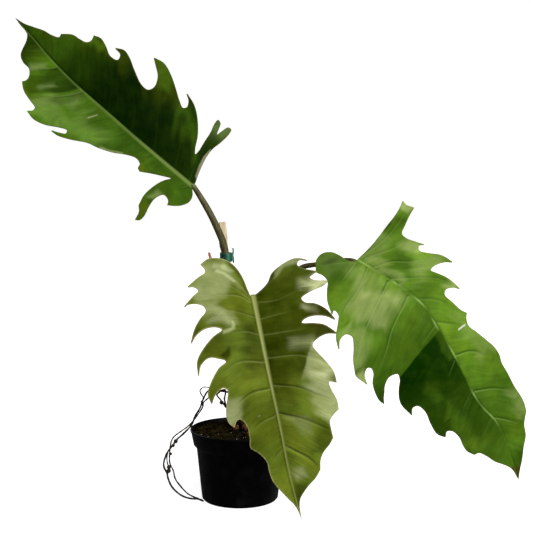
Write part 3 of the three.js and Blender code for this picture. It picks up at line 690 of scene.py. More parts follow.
frontLeaf = {
    "cell": 4, "rib": (2.6, 0.8), "sunk": 0.85, "hem": (0.35, 0.75),
    "band": {"wide": 2.7, "thin": 0.6, "show": 0.95, "shift": [(0, -0.4), (120, 0)], "dark": 1, "ribShade": 0.6,
             "fade": [(0, 1), (230, 0.8)]},
    "spine": [(17, -92, 256), (24, -118, 226), (35, -130, 175), (47, -127, 118), (57, -117, 65),
              (71, -104, 7)],
    "facing": [(0, -0.8, 0.6), (0.02, -0.98, 0), (0.02, -0.95, -0.25)],
    "wave": {"height": 2.5, "length": 54, "start": (1, 3)},
    "left": {
        "fold": [(0, 16), (130, 24), (269, 16)], "droop": 30,
        # Painted shade: this half is given a darker tone near the base, where it is turned from the light.
        "tone": [(0, 0.08), (60, 0.06), (90, 0.1), (110, 0.2), (130, 0.45), (175, 0.62), (215, 0.7),
                 (240, 0.32)],
        "margin": [
            [[0, 3], [-4, 11], [-10, 19], [-19, 25], [-26, 36], [-31, 50], [-31, 58], [-27, 67]],
            [[-28, 59], [-24, 55.5], [-19, 60], [-12, 75]],
            [[-9, 70], [-6, 66], [-3, 68], [2, 84]],
            [[7, 79.5], [13, 62], [19, 51.5], [25, 54], [29, 65], [38, 75], [51.5, 81.2]],
            [[46, 72], [43, 59], [45, 49], [48, 46], [51, 58], [55, 69], [66.3, 79.8]],
            [[65, 69], [68, 58], [73, 52.5], [81, 56], [92, 63], [104, 69], [115, 69.5]],
            [[113, 62], [121, 63], [134, 67], [144, 67]],
            [[148, 61], [154, 55.5], [163, 55], [172, 55.5]],
            [[180, 50], [189, 42], [198, 37.5], [209, 35]],
            [[218, 28], [225, 20], [232, 13], [242, 5], [252, 1.6], [268.7, 0]],
        ],
        "veins": [(0.3, [(2, 3), (-8, 20), (-22, 36)]), (0.6, [(11, 2), (15, 23), (8, 52)]),
                  (0.5, [(34, 2), (33, 36)]), (0.6, [(52, 2), (55, 48)]),
                  (0.7, [(77, 2), (81, 37), (94, 65)]), (0.9, [(107, 2), (114, 30), (133, 60)]),
                  (1, [(139, 2), (149, 29), (165, 54)]), (1, [(177, 2), (193, 24), (206, 33)]),
                  (0.5, [(206, 1), (222, 18)])],
    },
    "right": {
        "fold": [(0, 14), (130, 20), (269, 16)], "droop": 30,
        "tone": [(0, 0.34), (45, 0.22), (60, 0.28), (80, 0.26), (105, 0.42), (130, 0.2), (165, 0.26),
                 (190, 0.34), (215, 0.52)],
        "margin": [
            [[0, 3], [-9, 5], [-20, 7], [-33, 12], [-42, 19], [-48, 30], [-49, 42], [-44.3, 50.8]],
            [[-38, 47.5], [-34, 48], [-30, 56], [-21, 69]],
            [[-19, 63], [-14, 59], [-9, 66], [0, 77]],
            [[-1, 72], [1, 61], [6, 55.5], [12, 55], [20, 62], [32, 70], [45, 75.5]],
            [[39, 69], [34, 59], [34, 48], [38, 41], [43, 51], [52, 63], [64, 73], [79, 74.7]],
            [[70, 70], [64, 60], [67, 50], [71, 43.5], [76, 52], [87, 62], [99, 69], [110, 67.3]],
            [[102, 61], [97, 52], [100, 48], [110, 50.5], [124, 55], [134, 54.5], [140, 49.5]],
            [[134, 45], [134, 41], [143, 36], [158, 36], [168, 37], [177, 29], [189, 22.5], [201, 22],
             [214, 20], [228, 14], [240, 8], [252, 2.5], [268.7, 0]],
        ],
        "veins": [(0.4, [(2, 4), (-14, 13), (-30, 25), (-41, 38)]),
                  (0.4, [(6, 4), (-9, 18), (-20, 38), (-26, 54)]),
                  (0.8, [(10, 4), (0, 15), (-4, 31), (-6, 62)]), (0.6, [(31, 3), (15, 34), (12, 58)]),
                  (0.6, [(51, 2), (45, 16), (44, 33)]), (0.8, [(81, 2), (75, 29), (82, 48)]),
                  (0.9, [(110, 3), (110, 24), (122, 48)]), (0.6, [(140, 3), (143, 19), (150, 32)]),
                  (0.5, [(180, 3), (188, 14)]), (0.2, [(212, 2), (220, 12)])],
    },
    "zones": [
        ("tone", 12, 0.08, [(-34, -30), (-16, -24), (-10, -36), (-16, -50), (-32, -48)]),
        ("paleAndSheen", 5, 0.3, [(-34, -62), (-31, -40), (-20, -28), (-14, -26), (-16, -30), (-23, -38),
                          (-27, -60)]),
        ("brown", 3, 0.8, [(4, -2), (-4, -10), (-10, -18), (-19, -24), (-22, -28), (-16, -27), (-7, -19),
                           (1, -9)]),
        ("paleAndSheen", 22, 0.95, [(-6, -60), (12, -58), (6, -96), (-10, -80)]),
        ("brown", 12, 0.7, [(22, -56), (66, -54), (72, -92), (30, -92)]),
        ("paleAndSheen", 8, 0.45, [(27, -50), (34, -50), (37, -64), (30, -64)]),
        ("paleAndSheen", 2.5, [(70, 0.24), (92, 0.36), (102, 0.2), (110, 0)],
         [(69, -52), (106, -33), (120, -36), (120, -74), (80, -74)]),
        ("tone", 14, 0.25, [(72, -50), (98, -38), (100, -72), (76, -74)]),
        ("paleAndSheen", 18, 0.54, [(100, -42), (124, -42), (146, -48), (160, -60), (150, -74), (100, -74)]),
        ("paleAndSheen", 10, -0.25, [(80, -60), (106, -64), (122, -62), (122, -74), (80, -74)]),
        ("tone", 14, 0.25, [(104, -24), (148, -20), (150, -66), (100, -66)]),
        ("tone", 12, 0.25, [(146, -12), (180, -4), (200, -20), (160, -30)]),
        ("tone", 12, -0.26, [(156, -40), (186, -30), (180, -56), (156, -56)]),
        ("paleAndSheen", 10, 0.45, [(203, -8), (218, -8), (216, -20), (204, -18)]),
        ("paleAndSheen", 12, 0.2, [(146, -14), (162, -18), (162, -32), (148, -32)]),
        ("paleAndSheen", 14, 0.27, [(-46, 20), (-20, 16), (-4, 34), (-2, 62), (-20, 66), (-44, 50)]),
        ("brown", 3, 0.8, [(2, 0), (-20, 4), (-33, 9), (-44, 16), (-46, 22), (-33, 14), (-20, 9), (0, 6)]),
        ("paleAndSheen", 5, 0.12, [(-8, 9), (-33, 16), (-42, 24), (-38, 28), (-28, 21), (-8, 14)]),
        ("paleAndSheen", 4, 0.45, [(30, 29), (34, 26), (40, 28), (43, 40), (40, 40), (38, 31), (34, 29)]),
        ("tone", 5, -0.3, [(57, 38), (66, 36), (72, 42), (64, 48)]),
        ("paleAndSheen", 9, 0.22, [(62, -30), (72, -30), (78, -54), (66, -54)]),
        ("paleAndSheen", 4, 0.32, [(-43, 36), (-39, 22), (-30, 14), (-30, 19), (-35, 29), (-38, 39)]),
        ("paleAndSheen", 3, 0.4, [(-36, 34), (-30, 24), (-18, 15), (-18, 18), (-28, 28), (-33, 37)]),
        ("paleAndSheen", 16, 0.36, [(2, 40), (20, 30), (30, 34), (12, 64), (0, 62)]),
        ("tone", 14, 0.1, [(12, 20), (32, 20), (32, 36), (16, 40)]),
        ("paleAndSheen", 10, 0.16, [(16, 22), (34, 22), (36, 36), (18, 38)]),
        ("tone", 8, 0.12, [(18, 52), (32, 52), (36, 66), (24, 64)]),
        ("tone", 12, 0.12, [(142, 20), (158, 18), (160, 36), (146, 38)]),
        ("tone", 14, -0.08, [(24, 50), (34, 34), (60, 50), (60, 82), (30, 74)]),
        ("tone", 14, -0.16, [(36, 2), (90, 2), (90, 20), (70, 22), (40, 20)]),
        ("tone", 16, 0.12, [(54, 26), (84, 26), (92, 44), (80, 60)]),
        ("tone", 16, -0.12, [(88, 48), (104, 48), (112, 70), (90, 72)]),
        ("paleAndSheen", 12, 0.34, [(106, 48), (118, 38), (136, 38), (142, 60), (120, 64)]),
        ("brown", 6, 0.45, [(222, -3), (262, 0), (262, -4), (236, -14), (224, -20)]),
        ("mark", 1, 0.5, [(134.6, 20), (135.6, 20), (135.6, 21.6), (134.6, 21.6)]),
    ],
}

rightLeaf = {
    "cell": 4.2, "rib": (1.7, 0.6), "sunk": 1.1, "hem": (0.25, 0.25),
    "band": {"wide": 1.3, "thin": 0.7, "show": 0.8, "dark": -1, "ribShade": 0.3,
             "fade": [(0, 1), (262, 1), (285, 0.15)],
             "knots": [(8, 14), (51, 4), (86, 8), (118, 7), (159, 9), (220, 8), (252, 18)],
             "shift": [(0, -1), (90, -1), (120, 2), (135, 0.5), (166, -0.5), (186, 2), (200, 0), (240, 1.5),
                       (262, 0)]},
    "spine": [(137, -30, 290), (175, -43, 267), (216, -48, 234), (242, -43, 193), (274, -31, 135),
              (308, -21, 91), (335, -8, 24)],
    "facing": [(0.1, -0.92, 0.38), (0.22, -0.96, 0.12), (0.25, -0.96, -0.1)],
    "wave": {"height": 2.5, "length": 70, "start": (0, 1)},
    "left": {
        "fold": [(0, 4), (100, -4), (200, -10), (346, -8)], "droop": 20,
        "tone": [(0, 0.46), (45, 0.34), (80, 0.34), (110, 0.52), (165, 0.5), (200, 0.36), (240, 0.24),
                 (275, 0.24), (300, 0.34), (325, 0.14)],
        "margin": [
            [[-0.5, 3], [0.5, 16], [0.5, 34], [-1.5, 56], [-3, 78], [-6, 94.5], [-7.5, 101.5]],
            [[-3, 100.5], [8, 101.5]],
            [[10, 89.5], [14, 73], [19, 58], [27, 56.5], [37, 60], [46, 63.5]],
            [[43, 58], [47, 53.5], [57, 58], [70, 66], [83, 67.5]],
            [[77, 60], [72, 49], [72, 41], [79, 43], [90, 47.5], [107, 51]],
            [[102, 45], [98, 35], [101, 30], [112, 32.5], [126, 37.5], [133.5, 42.5]],
            [[138, 38.5], [147, 36], [158, 41], [175, 50], [193, 59], [206, 60.5], [216, 56.5], [232, 54],
             [252, 49.5], [270, 48], [281, 44]],
            [[285, 38], [291, 32.5], [303, 29], [314, 21], [326, 14], [335, 7], [345.7, 0]],
        ],
        "veins": [(0.7, [(1, 3), (8, 40), (6, 78), (3, 95)]), (0.7, [(6, 7), (21, 32), (29, 50)]),
                  (0.8, [(21, 2), (31, 19), (48, 34), (66, 59)]),
                  (0.7, [(46, 2), (59, 15), (86, 39), (100, 46)]),
                  (0.4, [(84, 2), (100, 18), (124, 34)]), (0.7, [(119, 2), (140, 26)]),
                  (1, [(165, 2), (174, 23), (199, 46)]), (1, [(216, 2), (231, 23), (254, 42)]),
                  (0.9, [(259, 1), (285, 25)]), (0.2, [(296, 1), (314, 16)])],
    },
    "right": {
        "fold": [(0, 10), (90, 10), (150, -8), (220, -10), (346, -8)], "droop": 20,
        "tone": [(-35, 0.26), (-5, 0.22), (10, 0.45), (45, 0.5), (80, 0.36), (100, 0.26), (126, 0.24),
                 (345, 0.36)],
        "margin": [
            [[-0.5, 3], [-8, 8.5], [-18, 10.5], [-28, 14.5], [-35, 24], [-35, 34], [-30, 41], [-25, 45.5],
             [-17, 43.5], [-9, 45], [-2, 54], [7, 65], [21, 74]],
            [[20, 69.5], [27, 70.5], [34, 79.5], [42.5, 92], [55, 102.5]],
            [[49.5, 93], [50, 84], [56, 82.5], [65.5, 91.5], [77.5, 104.5], [94, 112.5], [106, 114],
             [125.5, 108.5]],
            [[111.5, 104.5], [104.5, 98.5], [109, 95], [118.5, 95.5], [130, 102], [147, 103.5],
             [161.5, 101.5], [169.5, 98]],
            [[157, 95], [142.5, 89.5], [136.5, 80.5], [140.5, 69.5], [148.5, 70], [163, 75.5], [181, 80],
             [199, 75.5]],
            [[193, 70], [194, 63.5], [204, 60], [218, 62.5], [231, 63.5], [241, 58]],
            [[236, 52], [240, 47], [252, 45.5], [266, 48], [277, 47.5], [287, 41.5]],
            [[288, 35], [297, 28], [309, 20.5], [321, 9], [330, 3], [345.7, 0]],
        ],
        "veins": [(0.4, [(0, 4), (-14, 20), (-24, 34)]), (0.8, [(1, 3), (4, 38)]),
                  (0.9, [(16, 2), (24, 26), (29, 61), (34, 73)]),
                  (1, [(45, 3), (54, 38), (66, 77), (80, 101)]),
                  (0.8, [(73, 3), (87, 51), (106, 73), (120, 88)]), (0.1, [(98, 3), (112, 34), (140, 62)]),
                  (0.4, [(120, 3), (128, 29)]), (0.5, [(169, 2), (182, 17)]),
                  (0.3, [(214, 2), (226, 22), (242, 40)]), (0.15, [(256, 2), (268, 20), (280, 34)]),
                  (0.15, [(296, 1), (306, 12)])],
    },
    "zones": [
        ("tone", 14, -0.2, [(-8, -44), (8, -44), (16, -76), (-8, -78)]),
        ("tone", 4, -0.4, [(-12, -104), (-5.5, -100), (-1, -60), (1, -16), (-4, -16)]),
        ("paleAndSheen", 12, 0.36, [(26, -42), (48, -42), (50, -62), (26, -60)]),
        ("tone", 7, 0.3, [(40, -36), (54, -36), (60, -58), (43, -56)]),
        ("paleAndSheen", 7, 0.5, [(-8, -104), (10, -104), (8, -90), (-3, -92)]),
        ("tone", 12, -0.12, [(34, -16), (50, -18), (54, -34), (34, -32)]),
        ("paleAndSheen", 16, 0.24, [(54, -20), (70, -22), (76, -62), (60, -64)]),
        ("tone", 14, 0.1, [(50, -6), (74, -8), (78, -60), (56, -58)]),
        ("paleAndSheen", 10, 0.22, [(6, 0), (8, -16), (50, -14), (66, -4), (66, 0)]),
        ("paleAndSheen", 14, 0.14, [(-8, -2), (-6, -40), (16, -44), (20, -8)]),
        ("paleAndSheen", 12, 0.36, [(94, -38), (108, -38), (108, -52), (94, -52)]),
        ("paleAndSheen", 16, 0.14, [(120, -24), (190, -26), (196, -64), (150, -50)]),
        ("paleAndSheen", 16, 0.2, [(252, -36), (284, -34), (282, -52), (252, -56)]),
        ("mark", 1, 1, [(141.5, -21), (142.8, -21), (143.6, -32), (142, -33)]),
        ("brown", 8, 0.9, [(328, 0), (350, 0), (350, -10), (334, -12)]),
        # Painted shade: the blade past the crease, which turns from the light, is darkened.
        ("tone", 1.6, [(127, -0.25), (175, -0.22), (210, -0.19), (250, -0.16), (300, -0.04)],
         [(126, 0), (129, 10), (138, 46), (146, 74), (200, 84), (290, 56), (345, 0)]),
        ("tone", 12, 0.12, [(176, 38), (190, 32), (204, 36), (202, 46), (184, 48)]),
        ("tone", 14, 0.18, [(212, 32), (250, 26), (286, 34), (270, 50), (230, 48)]),
        ("paleAndSheen", 18, 0.36, [(26, 22), (64, 12), (76, 56), (36, 66)]),
        ("tone", 18, -0.16, [(26, 22), (64, 12), (76, 56), (36, 66)]),
        ("paleAndSheen", 12, 0.14, [(52, 4), (74, 4), (76, 24), (54, 22)]),
        ("paleAndSheen", 14, 0.18, [(-6, 4), (46, 2), (38, 20), (34, 64), (22, 62), (16, 30), (-4, 16)]),
        ("paleAndSheen", 12, 0.08, [(-34, 10), (-8, 8), (-10, 40), (-34, 34)]),
        ("tone", 5, 0.12, [(126, -1), (168, -1), (166, 8), (128, 10)]),
        ("tone", 18, 0.02, [(44, 66), (70, 66), (96, 98), (124, 110), (90, 118), (50, 104)]),
        ("paleAndSheen", 14, 0.26, [(44, 70), (66, 70), (96, 100), (90, 118), (50, 104)]),
        ("paleAndSheen", 10, 0.6, [(100, 103), (124, 103), (126, 116), (100, 116)]),
        ("tone", 6, -0.15, [(-22, 12), (-16, 12), (-24, 34), (-29, 34)]),
        ("brown", 8, 0.9, [(328, 0), (350, 0), (350, 10), (334, 12)]),
    ],
}

undersideSkin = {"grain": (30, 3), "spread": (0.35, 0.65), "tones": ((122, 122, 78), (150, 112, 92)),
                 "roughness": 0.6, "gloss": 0.3, "bumpGrain": (380, 3), "bump": (0.0004, 0.4)}
ribSkin = {"grain": (160, 3), "spread": (0.35, 0.65), "roughness": 0.45, "gloss": 0.4,
           "bumpGrain": (500, 2), "bump": (0.0003, 0.4)}
# The pale tints colour the leaf's pale patches and its painted sheen.
leafTints = {
    "upper": {"deep": (2, 13, 0), "light": (61, 93, 17), "paleAndSheen": (106, 118, 70), "brown": (52, 62, 4),
              "vein": (68, 82, 38), "rib": (60, 72, 32), "hem": (62, 56, 20), "mark": (118, 114, 92),
              "warm": (1.12, 0.98, 0.8), "gloss": 0.008, "mottle": 0.02, "streak": 0.08},
    "front": {"deep": (26, 34, 0), "light": (90, 106, 30), "paleAndSheen": (142, 146, 107), "brown": (26, 26, 2),
              "vein": (102, 106, 60), "rib": (102, 106, 60), "hem": (120, 112, 78), "mark": (120, 124, 108),
              "warm": (1.08, 0.96, 0.8), "gloss": 0.02, "mottle": 0.055, "streak": 0.17},
    "right": {"deep": (5, 27, 0), "light": (80, 112, 26), "paleAndSheen": (124, 133, 81), "brown": (40, 26, 8),
              "vein": (92, 116, 56), "rib": (88, 112, 50), "hem": (96, 96, 40), "mark": (150, 150, 144),
              "warm": (1.1, 0.98, 0.8), "gloss": 0.015, "mottle": 0.03, "streak": 0.06},
}
underside = grainFinish("leafUnderside", undersideSkin)
for place, leaf in (("upper", upperLeaf), ("front", frontLeaf), ("right", rightLeaf)):
    tints = leafTints[place]
    skin = leafFinish(place + "LeafSkin", tints)
    blade = makeBlade(place + "Leaf", leaf, "leaf_" + place, [skin, underside])
    skin = grainFinish(place + "RibSkin", {**ribSkin, "tones": (tints["rib"], tints["vein"])})
    makeRib(place + "Midrib", leaf, blade, skin)
print("leaves laid")


# Stalks, stem and sheath. A stalk's radii are [share of its path, radius].

stalkForm = {
    "upper": {"path": [(-2.5, -1, 155), (-6, 0, 185), (-10.5, 1, 230), (-15.4, 0, 289), (-17.8, -1, 303),
                       (-21.6, -2, 315), (-35.6, -6, 345.6), (-53.6, -8.3, 375.5), (-55.6, -9.2, 378.2)],
              "radii": [(0, 5), (0.52, 3.9), (0.64, 4.2), (0.76, 3.8), (0.875, 3), (1, 2)],
              "flap": [(-24.4, -2.5, 319), (-23, -2, 310), (-22.3, -1.5, 304), (-20.2, -1, 297),
                       (-18.5, -1, 290)]},
    "front": {"path": [(2.5, -3, 138), (3.5, -11, 153), (5, -16, 167), (9, -40, 205), (14, -72, 238),
                       (16.9, -90.9, 254.4)],
              "radii": [(0, 4.6), (1, 2.9)]},
    "right": {"path": [(7.5, 2, 151), (13, 2.5, 172), (19, 3, 192), (33, 5, 228), (52, 5, 258), (74, 3, 279),
                       (92, -4, 283.5), (112, -11, 288), (126, -18.5, 290), (135, -27.5, 289.2),
                       (138, -29.5, 287.4)],
              "radii": [(0, 4.6), (0.9, 2.3), (1, 1.4)]},
}
stalkSteps = {"path": 14, "flap": 8, "round": 6}
flapRadius = 1.4
neckReach = 11  # where a stalk turns green below its leaf
neckGreen = 0.8
stalkSkin = {"dark": (47, 45, 23), "light": (67, 64, 36), "spot": (30, 24, 16), "neck": (72, 84, 42),
             "fleck": (900, 3), "stretch": (1, 1, 0.12), "fleckSpread": (0.4, 0.62), "fleckShow": 0.6,
             "patch": (90, 3), "patchSpread": (0.35, 0.65), "roughness": 0.45, "gloss": 0.08,
             "bump": (0.0003, 0.5)}
stemForm = {"path": [(4, 3, 60), (4.5, 2, 85), (3, 1, 125), (2, 1, 161)], "radii": (6.6, 5.4),
            "knots": 5, "swell": 1.3, "knotPower": 3, "steps": 24, "round": 8}
stemSkin = {"grain": (260, 4), "stretch": (1, 1, 0.35), "spread": (0.35, 0.65),
            "tones": ((26, 22, 12), (54, 44, 28)), "roughness": 0.7, "gloss": 0.1, "bump": (0.0008, 0.8)}
sheathForm = {"path": [(-5, -3, 138), (-10, -7, 155), (-14, -9, 175), (-22, -10, 225), (-30, -9, 273),
                       (-36, -7, 298)],
              "swell": 1.5, "taper": 0.6, "tip": 1.5, "steps": 12, "round": 4}
sheathSkin = {"grain": (700, 3), "stretch": (1, 1, 0.1), "spread": (0.35, 0.65),
              "tones": ((128, 82, 70), (98, 60, 50)), "roughness": 0.65, "gloss": 0.1, "bump": (0.0004, 0.6)}


def stalkFinish(form):
    finish = Finish("stalkSkin")
    fleck = finish.grain(*form["fleck"], vector=finish.stretched(form["stretch"]))
    fleck = finish.span(fleck, *form["fleckSpread"])
    patch = finish.span(finish.grain(*form["patch"]), *form["patchSpread"])
    base = finish.blend(patch, linear(*form["dark"]), linear(*form["light"]))
    base = finish.blend(finish.times(fleck, form["fleckShow"]), base, linear(*form["spot"]))
    finish.colour(finish.blend(finish.attribute("neck"), base, linear(*form["neck"])))
    finish.sockets(Roughness=form["roughness"], Specular_IOR_Level=form["gloss"])
    finish.bump(fleck, *form["bump"])
    return finish.material


stalkMaterial = stalkFinish(stalkSkin)
for place, form in stalkForm.items():
    line = smoothLine(form["path"], stalkSteps["path"])
    tubes = [(line, ramp(form["radii"], np.linspace(0, 1, len(line))))]
    if "flap" in form:
        flap = smoothLine(form["flap"], stalkSteps["flap"])
        tubes.append((flap, np.full(len(flap), flapRadius)))
    name = "stalk" + place.capitalize()
    mesh = tubeMesh(name, tubes, stalkSteps["round"])
    tip = Vector(form["path"][-1]) * mm
    necks = [neckGreen * max(0, 1 - (vert.co - tip).length / (neckReach * mm)) for vert in mesh.vertices]
    mesh.attributes.new("neck", "FLOAT", "POINT").data.foreach_set("value", necks)
    linkPiece(name, mesh, [stalkMaterial], ["stalk_" + place])

stemLine = smoothLine(stemForm["path"], stemForm["steps"])
share = np.linspace(0, 1, len(stemLine))
knots = (1 - np.abs(np.sin(share * math.pi * stemForm["knots"]))) ** stemForm["knotPower"]
thick, thin = stemForm["radii"]
stemRadii = thick + (thin - thick) * share + stemForm["swell"] * knots
stemMesh = tubeMesh("mainStem", [(stemLine, stemRadii)], stemForm["round"])
linkPiece("mainStem", stemMesh, [grainFinish("stemSkin", stemSkin)], ["stem"])

sheathLine = smoothLine(sheathForm["path"], sheathForm["steps"])
share = np.linspace(0, 1, len(sheathLine))
sheathRadii = sheathForm["swell"] * (1 - share) ** sheathForm["taper"] + sheathForm["tip"]
sheathMesh = tubeMesh("driedSheath", [(sheathLine, sheathRadii)], sheathForm["round"])
linkPiece("driedSheath", sheathMesh, [grainFinish("sheathSkin", sheathSkin)], ["sheath"])
print("stalks and stem made")


# Stake and tie keep their own solids

stakeSkin = {"grain": (1100, 3), "stretch": (1, 1, 0.04), "spread": (0.35, 0.68),
             "tones": ((156, 144, 118), (125, 107, 80)), "roughness": 0.7, "gloss": 0.08,
             "bump": (0.0004, 0.6)}
# edge is a painted sheen: a paler green laid over the film where it turns from view.
tieSkin = {"dark": (0, 30, 18), "light": (10, 62, 44), "edge": (84, 124, 112), "crease": (420, 3),
           "spread": (0.35, 0.65), "sheenShow": (0.45, 0.9, 0, 0.8), "roughness": 0.35, "gloss": 0.2,
           "bump": (0.0006, 0.6)}


def tieFinish(form):
    finish = Finish("tieFilm")
    crease = finish.grain(*form["crease"])
    film = finish.blend(finish.span(crease, *form["spread"]), linear(*form["dark"]), linear(*form["light"]))
    # Painted sheen: the film turns paler at its edges, where it turns from view.
    turned = finish.span(finish.add("ShaderNodeLayerWeight").outputs["Facing"], *form["sheenShow"])
    finish.colour(finish.blend(turned, film, linear(*form["edge"])))
    finish.sockets(Roughness=form["roughness"], Specular_IOR_Level=form["gloss"])
    finish.bump(crease, *form["bump"])
    return finish.material


def dressNode(name, material):
    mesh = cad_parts[name].data
    mesh.materials.clear()
    mesh.materials.append(material)


dressNode("stake", grainFinish("caneSkin", stakeSkin))
dressNode("tie", tieFinish(tieSkin))


# Pot

potForm = {"rim": 60, "height": 85.5, "band": 19.5, "bandLower": 55.9, "wallTop": 52.3, "wallBottom": 46,
           "foot": 44.5, "wall": 1.8, "floor": 2.4, "sides": 128,
           "holes": 8, "holeRadius": 4.5, "holeCircle": 33, "holeSides": 24, "drill": 10}
# edge is a painted sheen: a grey laid over the black plastic where its surface turns from view.
potSkin = {"clean": (0, 0, 0), "dusty": (7, 8, 7), "edge": (18, 22, 19), "scuffs": (220, 5),
           "stretch": (1, 1, 0.5), "dust": (70, 4), "dustSpread": (0.5, 0.75),
           "sheenShow": (0.5, 0.92, 0, 0.7), "scuffDull": (0.35, 0.7, 0.42, 0.6), "gloss": 0.06,
           "bump": (0.0003, 0.35)}


def potFinish(form):
    finish = Finish("potPlastic")
    scuffs = finish.grain(*form["scuffs"], vector=finish.stretched(form["stretch"]))
    dust = finish.span(finish.grain(*form["dust"]), *form["dustSpread"])
    # Painted sheen: the plastic greys towards its edges, where it turns from view.
    turned = finish.span(finish.add("ShaderNodeLayerWeight").outputs["Facing"], *form["sheenShow"])
    plastic = finish.blend(dust, linear(*form["clean"]), linear(*form["dusty"]))
    finish.colour(finish.blend(turned, plastic, linear(*form["edge"])))
    finish.join(finish.span(scuffs, *form["scuffDull"]), finish.shader.inputs["Roughness"])
    finish.bump(scuffs, *form["bump"])
    finish.sockets(Specular_IOR_Level=form["gloss"])
    return finish.material


# A profile of [radius, height] turned about +Z
def turnedMesh(profile, steps):
    bm = bmesh.new()
    corners = [bm.verts.new((radius * mm, 0, height * mm)) for radius, height in profile]
    edges = [bm.edges.new(pair) for pair in zip(corners, corners[1:])]
    bmesh.ops.spin(bm, geom=[*corners, *edges], axis=(0, 0, 1), cent=(0, 0, 0), angle=math.tau, steps=steps,
                   use_merge=True)
    bmesh.ops.remove_doubles(bm, verts=bm.verts, dist=weldWithin)
    bmesh.ops.recalc_face_normals(bm, faces=bm.faces)
    return bm


# The small numbers in the profiles round the edges of the foot, the band and the rim
def potProfile(form):
    top, wall = form["height"], form["wall"]
    bandFoot = top - form["band"]
    outer = [(0, 0), (form["foot"] - 2, 0), (form["foot"], 0.4), (form["wallBottom"], 2.2),
             (form["wallTop"], bandFoot - 3), (form["bandLower"] - 1.2, bandFoot - 0.2),
             (form["bandLower"], bandFoot + 1), (form["rim"] - 1.2, top - 4), (form["rim"] - 0.2, top - 2.6),
             (form["rim"], top - 1.3), (form["rim"] - 0.5, top - 0.2)]
    inner = [(form["rim"] - wall + 0.4, top), (form["rim"] - wall - 0.2, top - 1),
             (form["bandLower"] - wall, bandFoot + 3), (form["wallTop"] - wall, bandFoot - 2),
             (form["wallBottom"] - wall, form["floor"] + 1.5),
             (form["wallBottom"] - wall - 1.5, form["floor"]), (0, form["floor"])]
    return outer + inner


def makePot(form, material):
    mesh = meshFrom(turnedMesh(potProfile(form), form["sides"]), "pot")
    pot = linkPiece("potShell", mesh, [material], ["pot"])
    drills = bmesh.new()
    for turn in range(form["holes"]):
        made = bmesh.ops.create_cone(drills, cap_ends=True, segments=form["holeSides"],
                                     radius1=form["holeRadius"] * mm, radius2=form["holeRadius"] * mm,
                                     depth=form["drill"] * mm)
        angle = turn / form["holes"] * math.tau
        place = Vector((math.cos(angle), math.sin(angle), 0)) * form["holeCircle"] * mm
        bmesh.ops.translate(drills, verts=made["verts"], vec=place)
    drill = linkObject("drills", meshFrom(drills, "drills"))
    holes = pot.modifiers.new("holes", "BOOLEAN")
    holes.object = drill
    holes.operation = "DIFFERENCE"
    cut = bpy.data.meshes.new_from_object(pot.evaluated_get(bpy.context.evaluated_depsgraph_get()))
    pot.modifiers.clear()
    pot.data = cut
    bpy.data.objects.remove(drill)


makePot(potForm, potFinish(potSkin))
print("pot turned")


# Soil with crumbs and perlite, and the husk chunks on it. The lump and the ripple of the surface
# are [height, waves along X, waves along Y]. The rough numbers shape a fractal noise.

soilForm = {"edge": 81, "crown": 4, "radius": 57.2, "rings": 40, "sides": 144, "topWithin": 0.1,
            "side": [(0, 2.7), (42, 2.7), (43.9, 4.2), (50.2, 63.9), (53.8, 69)],
            "lump": (0.9, 0.31, 0.27), "ripple": (0.6, 0.29, 0.26), "calmEdge": 5,
            "rough": 1.1, "roughScale": 0.22, "roughShape": (0.6, 2.2, 5), "roughEdge": 3}
soilSkin = {"coarse": (160, 6, 0.65), "fine": (700, 4, 0.7), "coarseSpread": (0.42, 0.66),
            "fineSpread": (0.56, 0.7), "dark": (3, 2, 1), "light": (42, 36, 19), "speck": (76, 64, 38),
            "roughness": 0.95, "gloss": 0, "bump": (0.0015, 0.9)}
crumbShape = {"uneven": 0.3, "slimmest": 0.6, "flat": 0.7, "raise": 0.2}
crumbForm = {"count": 420, "sizes": (0.5, 1.6), "spread": 53, "seed": 4}
perliteForm = {"count": 16, "sizes": (0.7, 1.3), "spread": 50, "seed": 5}
perliteSkin = {"grain": (500, 3), "spread": (0, 1), "tones": ((110, 112, 100), (150, 150, 140)),
               "roughness": 0.85, "gloss": 0}
huskForm = {"bevel": 0.24, "roughScale": 0.45, "rough": 0.7, "apart": 9, "sink": 0.6,
            "chunks": [((-5, -9.5), (8, 5, 5), 0.5), ((6.5, -11.5), (9, 7, 7), 1.9),
                       ((12, -20.5), (9, 6, 5), 2.7), ((10.5, -32), (5, 4, 4), 0.9)]}
huskSkin = {"grain": (520, 4), "stretch": (1, 0.25, 1), "turn": (0.3, 0.2, 0.6), "spread": (0.35, 0.65),
            "tones": ((40, 20, 10), (104, 74, 48)), "roughness": 0.9, "gloss": 0, "bump": (0.0012, 0.9)}


def soilHeight(x, y):
    out = math.hypot(x, y) / potForm["rim"]
    lump, lumpX, lumpY = soilForm["lump"]
    ripple, rippleX, rippleY = soilForm["ripple"]
    lumps = (lump * math.sin(x * lumpX + 1) * math.cos(y * lumpY)
             + ripple * math.sin(x * rippleX - y * rippleY))
    mound = soilForm["crown"] * (1 - out * out)
    return soilForm["edge"] + mound + lumps * min(1, (1 - out) * soilForm["calmEdge"])


def soilFinish(form):
    finish = Finish("soilCrumb")
    coarse, fine = finish.grain(*form["coarse"]), finish.grain(*form["fine"])
    base = finish.blend(finish.span(coarse, *form["coarseSpread"]), linear(*form["dark"]),
                        linear(*form["light"]))
    finish.colour(finish.blend(finish.span(fine, *form["fineSpread"]), base, linear(*form["speck"])))
    finish.sockets(Roughness=form["roughness"], Specular_IOR_Level=form["gloss"])
    finish.bump(fine, *form["bump"])
    return finish.material


